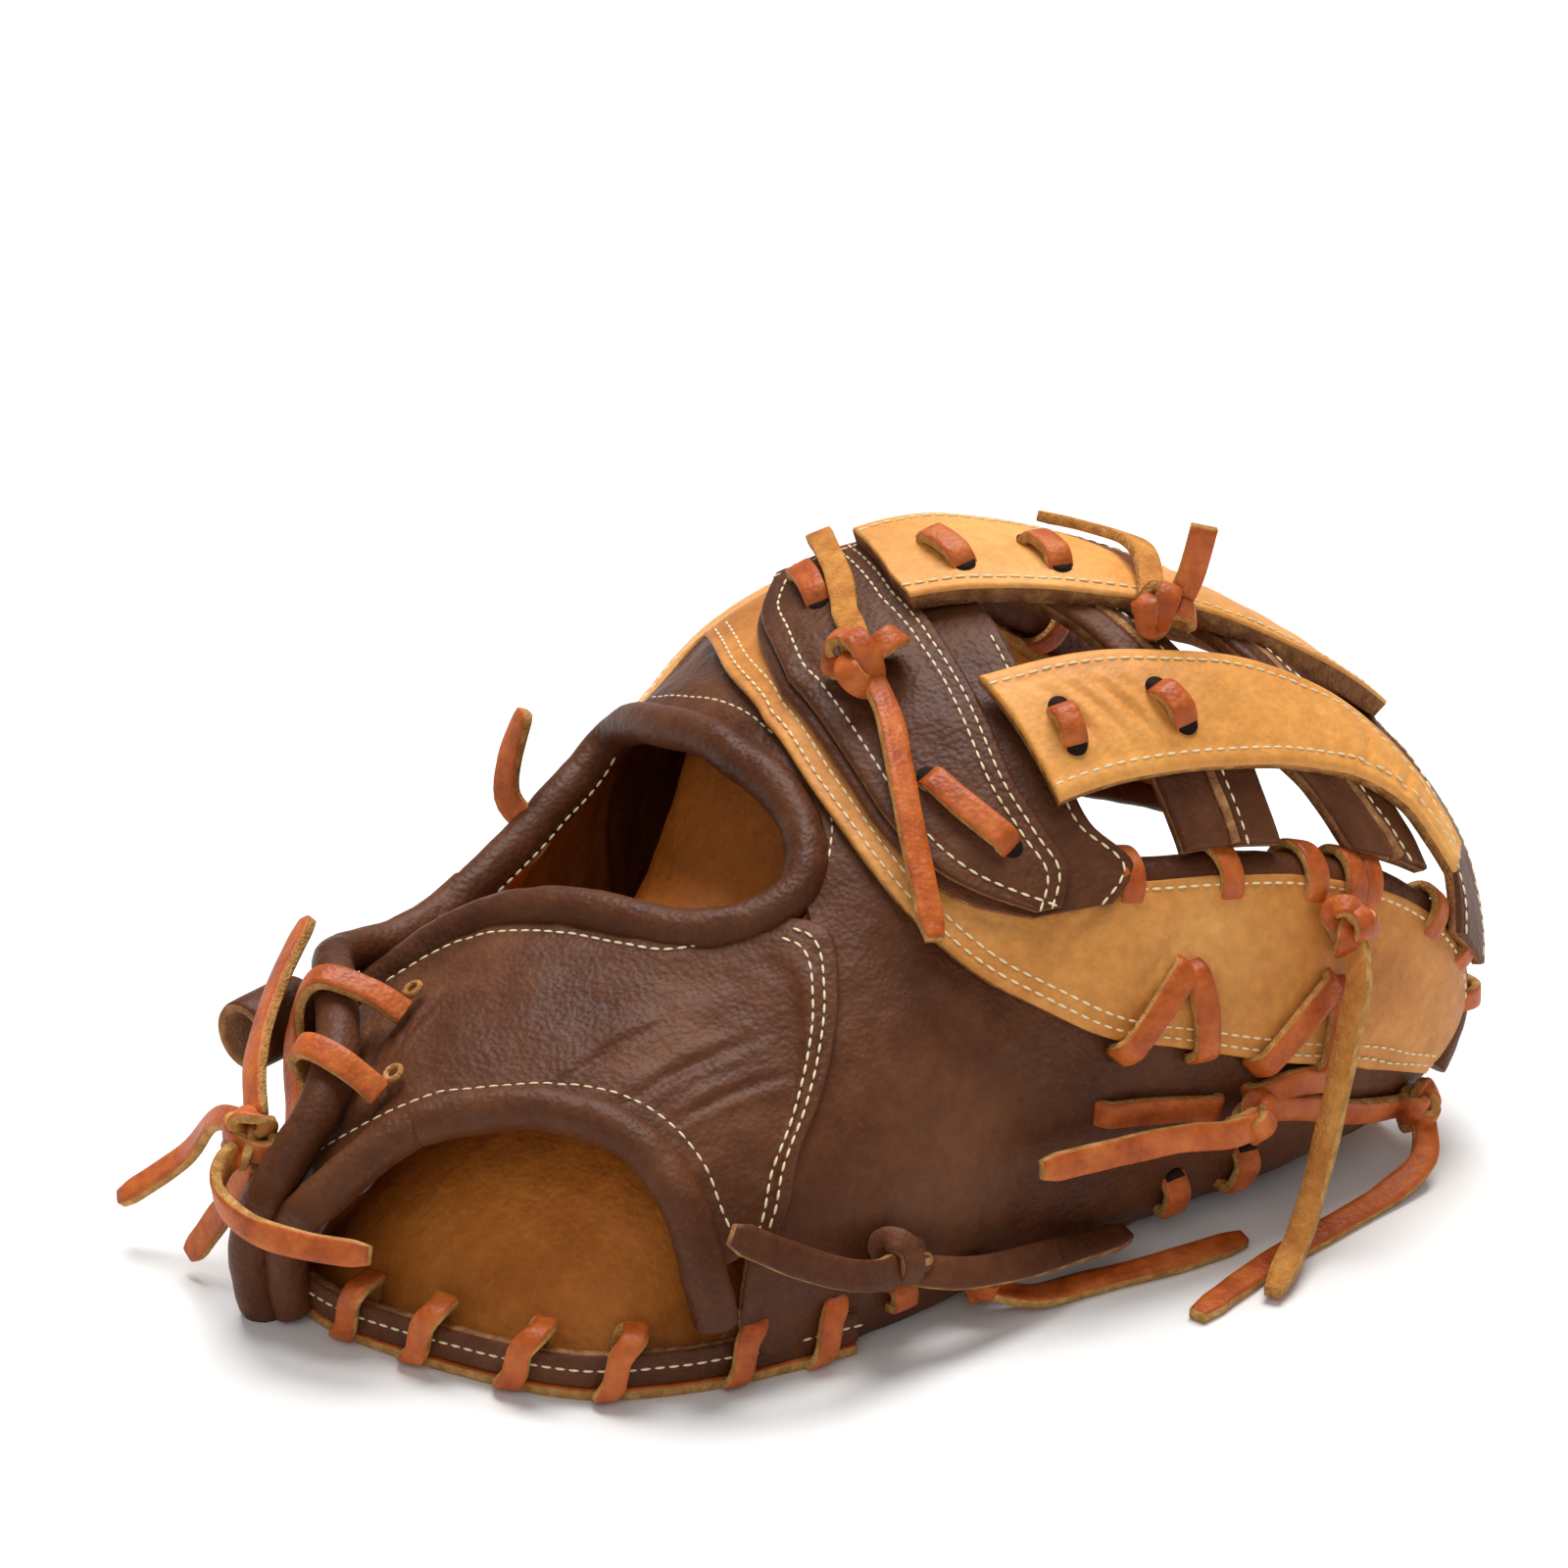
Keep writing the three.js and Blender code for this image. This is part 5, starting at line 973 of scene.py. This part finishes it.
def makeTrim():
    # Bound finger tip, from the end of the web round to the floor
    v = np.linspace(*trim["tipSpan"], 90)
    u = 0.966 + 0.004 * np.sin(v * np.pi)
    centres = lifted(u, v, np.full(v.shape, trim["tipLift"]))
    tip = tube("fingerTipBinding", centres, skinNormal(u, v), trim["tipRadius"], [brown], wrinkle=0.4, seed=50)
    keep(tip, "brown_leather")
    # Lining of the far wall, seen through the back opening
    flap = {"low": -6.4, "high": -4.8, "finish": [lining, lining, tanRaw], "puff": 0.8, "ripple": 0.9, "seed": 52,
            "cell": 2, "pinEdges": False, "rows": [
                [0.15, 0.44, 0.13, 0.8], [0.2, 0.45, 0.18, 0.82], [0.25, 0.45, 0.24, 0.8],
                [0.3, 0.44, 0.3, 0.72], [0.34, 0.43, 0.335, 0.6]]}
    keep(panel("liningFlap", flap), "lining_leather")
    # Two punched holes in the strap with raw rims
    steps = trim["rimSteps"]
    turn = np.linspace(0, 2 * np.pi, steps + 1)[:-1]
    for k, (u, v) in enumerate(trim["holes"]):
        centre, up = lifted(np.array(u), np.array(v), trim["holeLift"]), skinNormal(np.array(u), np.array(v))
        side = unit(np.cross(up, [0, 1, 0]))
        spoke = side * np.cos(turn)[:, None] + np.cross(up, side) * np.sin(turn)[:, None]
        rim = tube(f"strapHole{k}", centre + spoke * trim["holeRadius"] * mm, np.tile(up, (steps, 1)),
                   trim["rimRadius"], [tanRaw], closed=True, wrinkle=0.1)
        keep(rim, "brown_leather")


makeTrim()

# Heel welt and its lace
heel = {"weltWall": 3, "weltHeight": 8, "lift": 3.2, "places": [0.07, 0.2, 0.37, 0.525, 0.67, 0.83], "slant": -3.2}
weltRows = [[-1.2, 0.2, -0.362]] + palm["heel"][:-3]


def rimPath(share, out, height):
    row, ahead, behind = (evenRow(weltRows, np.clip(share + d, 0, 1)) for d in (0, 0.01, -0.01))
    tangent = (ahead - behind)[..., 1:] * [mitt["length"], mitt["width"]]
    outward = unit(np.stack([-tangent[..., 1], tangent[..., 0]], -1))
    point = row[..., 1:] * [mitt["length"], mitt["width"]] + [mitt["shiftX"], mitt["shiftY"]] + outward * out * mm
    lift = np.broadcast_to(np.asarray(height, float) * mm, share.shape)
    flat = np.zeros(share.shape)
    return np.concatenate([point, lift[..., None]], -1), np.concatenate([outward, flat[..., None]], -1)


def makeHeel():
    share = np.linspace(0, 1, 170)
    weltOut = 0.3 + heel["weltWall"] / 2
    centres, outward = rimPath(share, weltOut, heel["lift"] + heel["weltHeight"] / 2)
    centres[:, 2] += 0.5 * mm * cloudAt(centres, 12 * mm, 80)
    section = [(-1, -0.6), (-0.8, -1), (0.8, -1), (1, -0.6), (1, 0.6), (0.8, 1), (-0.8, 1), (-1, 0.6)]
    welt = bar("heelWeltStrip", centres, outward, heel["weltHeight"] * mm, heel["weltWall"] * mm,
               [brown, brown, brownRaw], section=section, sides=[2, 0, 2, 2, 0, 0, 0, 2])
    keep(welt, "brown_leather", "heel_welt")
    seam, away = rimPath(share, weltOut + heel["weltWall"] / 2 + 0.05, heel["lift"] + heel["weltHeight"] * 0.56)
    seam[:, 2] = seam[:, 2] + 0.5 * mm * cloudAt(centres, 12 * mm, 80)
    stitchLines["heelStitches"].append((seam, away))
    wraps = []
    for k, at in enumerate(heel["places"]):
        at = np.array(at)
        middle, out = rimPath(at, weltOut, 0)
        turn = np.linspace(0, 2 * np.pi, 41)[:-1]
        tall = heel["weltHeight"] / 2 + 3.1
        deep = heel["weltWall"] / 2 + 2.5
        c, s = np.cos(turn), np.sin(turn)
        across = deep * np.sign(c) * np.abs(c) ** 0.5 * np.where(c < 0, 1.4, 1)
        ring = middle + out * across[:, None] * mm
        ring[:, 2] = (1.7 + tall + tall * np.sign(s) * np.abs(s) ** 0.5) * mm
        slant = np.cross(out, [0, 0, 1])
        ring = ring + slant * (heel["slant"] * s + 0.8 * np.sin(turn + k))[:, None] * mm
        ups = out * c[:, None] + np.array([0, 0, 1]) * s[:, None]
        wraps.append(bar("wrap", ring, ups, 5.2 * mm, laceLook["wrapWall"], laceFinish, closed=True, wobble=0.1))
    run, _ = rimPath(np.linspace(0, 1, 90), 1.2, 1.6)
    ups = np.tile([0.0, 0, 1], (90, 1))
    wraps.append(bar("run", run, ups, laceLook["runWidth"], laceLook["wall"], laceFinish))
    keep(joinPieces("heelLacing", wraps), "lace_leather", "heel_lace")


makeHeel()
print("rolls and heel are made")

# Lacing
def whipped(name, edge, places, radius, lift, node):
    rows = np.array([row + [lift] for row in edge], float)
    around = radius + laceLook["wall"] / mm
    rings = []
    for k, share in enumerate(places):
        u, v, _ = evenRow(rows, np.array(share))
        centre, up = lifted(u, v, lift), skinNormal(u, v)
        ahead = evenRow(rows, np.array([min(share + 0.02, 1), max(share - 0.02, 0)]))
        ends = lifted(ahead[:, 0], ahead[:, 1], ahead[:, 2])
        along = unit(ends[0] - ends[1])
        side = unit(np.cross(along, up))
        turn = np.linspace(0, 2 * np.pi, 45)[:-1]
        spoke = side * np.cos(turn)[:, None] + up * np.sin(turn)[:, None]
        slant = along * (1.6 * np.sin(turn + 0.7 * k))[:, None] * mm
        ring = centre + spoke * (around - 0.9) * mm + slant
        rings.append(bar("ring", ring, spoke, 5.4 * mm, laceLook["wrapWall"], laceFinish, closed=True, wobble=0.1))
    line = evenRow(rows, np.linspace(places[0], places[-1], 70))
    centres = lifted(line[:, 0], line[:, 1], lift - around)
    ups = skinNormal(line[:, 0], line[:, 1])
    rings.append(bar("run", centres, ups, laceLook["runWidth"], laceLook["wall"], laceFinish))
    keep(joinPieces(name, rings), "lace_leather", node)


knotWall = 2.4 * mm


# A flat lace tied on itself: a loop knot that fills an ellipsoid
def tied(name, centre, normal, radii, turn=0.0, finish=None, width=5.4):
    wide, long, tall = radii
    up = unit(np.asarray(normal, float))
    along = unit(np.cross(up, [math.sin(turn), math.cos(turn), 0.15]))
    side = np.cross(up, along)
    t = np.linspace(0, 2 * np.pi, 121)[:-1]
    x = (np.sin(t) + 1.25 * np.sin(2 * t)) / 2.1 * (wide - 1.2)
    y = (np.cos(t) - 1.25 * np.cos(2 * t)) / 2.1 * (long - 1.2)
    z = -np.sin(3 * t) * (tall - 1.4) * 0.62
    centres = centre + (side * x[:, None] + along * y[:, None] + up * z[:, None]) * mm
    away = unit(side * (x / wide)[:, None] + along * (y / long)[:, None] + up * (0.9 + 0 * z)[:, None])
    ring = bar(name, centres, away, width * mm * 0.95, knotWall, finish or laceFinish, closed=True, wobble=0.1)
    turnT = np.linspace(0, 2 * np.pi, 61)[:-1]
    band = centre + (side * (0.55 * wide * np.cos(turnT))[:, None] + up * (0.95 * tall * np.sin(turnT))[:, None]) * mm
    out = unit(side * (np.cos(turnT) / wide)[:, None] + up * (np.sin(turnT) / tall)[:, None])
    wrap = bar(name, band, out, width * mm * 0.95, knotWall, finish or laceFinish, closed=True, wobble=0.1)
    return joinPieces(name, [ring, wrap])


def knotOn(name, over, u, v, radii, **settings):
    centre = lifted(np.array(u), np.array(v), over + 0.4 + radii[2])
    return tied(name, centre, skinNormal(np.array(u), np.array(v)), radii, **settings)


# Painted shade: a short dark tube where a lace goes down through a hole
def punched(over, u, v):
    centre, up = lifted(np.array(u), np.array(v), over), skinNormal(np.array(u), np.array(v))
    line = centre + up * np.array([[-1.0], [0.4]]) * mm
    return tube("hole", line, np.tile(unit(np.cross(up, [0, 1, 0])), (2, 1)), 2.5, [holeShade], wrinkle=0)


shortLaces = {
    "web_lace_upper": [8.2, [[0.523, 0.143], [0.507, 0.104], [0.49, 0.069]]],
    "web_lace_lower": [8.2, [[0.404, -0.2], [0.403, -0.26], [0.408, -0.325]]],
    "post_lace_near_1": [12.7, [[0.494, -0.23], [0.489, -0.25], [0.482, -0.275]]],
    "post_lace_near_2": [12.7, [[0.555, -0.262, -1.7], [0.555, -0.285, -1.7], [0.553, -0.312, -1.7]]],
    "post_lace_far_1": [12.7, [[0.562, 0.02, -0.6], [0.558, -0.005, -0.6], [0.55, -0.037, -0.6]]],
    "post_lace_far_2": [12.7, [[0.6, -0.035, -1.5], [0.596, -0.06, -1.5], [0.588, -0.09, -1.5]]],
    "cross_lace_1": [0, [[0.005, 0.4, 1], [0.04, 0.42, 2], [0.08, 0.4, 8], [0.096, 0.31, 14.5], [0.1, 0.24, 8],
                         [0.1, 0.19, 0]]],
    "cross_lace_2": [0, [[0.05, 0.35, 5], [0.048, 0.31, 11], [0.045, 0.255, 13], [0.04, 0.19, 9], [0.036, 0.13, 0]]],
    "rim_lace_1": [0, [[0.235, -0.8], [0.237, -0.84], [0.238, -0.87]]],
    "rim_lace_2": [0, [[0.47, -0.81], [0.474, -0.85], [0.478, -0.885]]],
    "rim_lace_3": [0, [[0.53, -0.8], [0.53, -0.84], [0.53, -0.875]]]}
overlayTop = 3.4
sideRuns = [
    [[0.48, -0.539], [0.452, -0.57], [0.416, -0.612]], [[0.482, -0.541], [0.482, -0.595], [0.477, -0.652]],
    [[0.592, -0.614], [0.558, -0.645], [0.521, -0.682]], [[0.594, -0.616], [0.588, -0.66], [0.581, -0.706]]]
lowRuns = [[[0.398, -0.678], [0.45, -0.697], [0.497, -0.716]],
           [[0.52, -0.715], [0.555, -0.708, 1.2], [0.597, -0.722]],
           [[0.522, -0.72, 1.6], [0.57, -0.745, 0.6], [0.625, -0.785, 0.2], [0.685, -0.815, 0.6]]]


def makeLacing():
    for name, (over, rows) in shortLaces.items():
        long = len(rows) > 3
        parts = [laceOn(name + "_run", over, rows, dive=not long)]
        if not long:
            parts += [punched(over + (row + [0])[2], row[0], row[1]) for row in (rows[0], rows[-1])]
        keep(joinPieces(name + "_run", parts), "lace_leather", name)
    whipped("thumbWhipping", thumbWebEdge, [0.03, 0.18, 0.31, 0.385, 0.42, 0.56, 0.68, 0.8], 5.3, -2.2,
            "thumb_lace")
    whipped("fingerWhipping", fingerWebEdge, [0.24, 0.4, 0.56, 0.7], 4.6, -3.6, "finger_lace")
    parts = [laceOn("run", overlayTop, rows) for rows in sideRuns]
    parts += [laceOn("run", 0, rows, dive=k < 2) for k, rows in enumerate(lowRuns)]
    parts.append(knotOn("knot", 2.6, 0.512, -0.722, [6, 5, 4], turn=0.6))
    parts.append(knotOn("knot", 0, 0.69, -0.81, [6, 6, 4.5], turn=1.4))
    keep(joinPieces("sideLacing", parts), "lace_leather", "side_lace")
    feed = laceOn("feed", 8.2, [[0.562, 0.162], [0.535, 0.112, 0.4], [0.503, 0.05, 0.6], [0.45, -0.045, 2]],
                  paleLace, dive=False)
    knot = knotOn("knot", 8.2, 0.443, -0.06, [8.6, 9.8, 5.8], turn=0.4, width=6)
    keep(joinPieces("webKnotLace", [feed, knot]), "lace_leather", "web_knot")
    arch = laceOn("arch", 12.7, [[0.66, 0.03, -1.6], [0.66, -0.04, -0.6], [0.635, -0.11, 0.6], [0.605, -0.17, -2.4]],
                  paleLace, dive=False)
    knot = knotOn("knot", 6.2, 0.6, -0.19, [6.9, 7.4, 5.9], turn=1.0)
    seat = lifted(np.array(0.6), np.array(-0.19), 6.2)
    stubLine = smoothLine(seat + np.array([[2, -3, 4], [5, -6, 13], [7, -8, 25]]) * mm, 1.5 * mm)
    stub = bar("stub", stubLine, np.tile([-0.68, -0.57, 0.0], (len(stubLine), 1)), laceLook["width"],
               laceLook["wall"], [laceFace, laceFace, laceEdge])
    keep(joinPieces("crownKnot", [arch, knot, stub]), "lace_leather", "crown_lace")
    keep(knotOn("thumbKnotLace", overlayTop, 0.602, -0.56, [6.5, 6.5, 4.9], turn=0.2), "lace_leather", "thumb_knot")
    keep(knotOn("rimKnotLace", 0, 0.3, -0.85, [5, 5, 4], turn=0.9, width=4.6), "lace_leather", "rim_knot")
    keep(knotOn("tieKnotLace", 0, 0.22, -0.742, [7, 8, 5], turn=0.3, finish=brownTie, width=6), "brown_leather",
         "tie_knot")
    wrist = tied("wristKnotLace", place([-7, 35, 40.5]), [0, 1, 0.2], [6.2, 7, 6.5], turn=1.2)
    keep(wrist, "lace_leather", "wrist_knot")


makeLacing()

# Wrist loop
loop = {"place": [26, 61.5, 46], "long": 9, "tall": 7, "wall": 2.6}


def makeLoop():
    turn = np.linspace(0, 2 * np.pi, 61)[:-1]
    spoke = np.stack([0 * turn, np.cos(turn), np.sin(turn)], -1)
    centres = place(loop["place"]) + spoke * loop["tall"] * mm
    tab = bar("wristLoop", centres, spoke, 2 * loop["long"] * mm, loop["wall"] * mm, [brown, suede, brownRaw],
              closed=True)
    keep(tab, "brown_leather", "loop_tab")


makeLoop()
makeStitches()
print("lacing, loop and stitches are made")
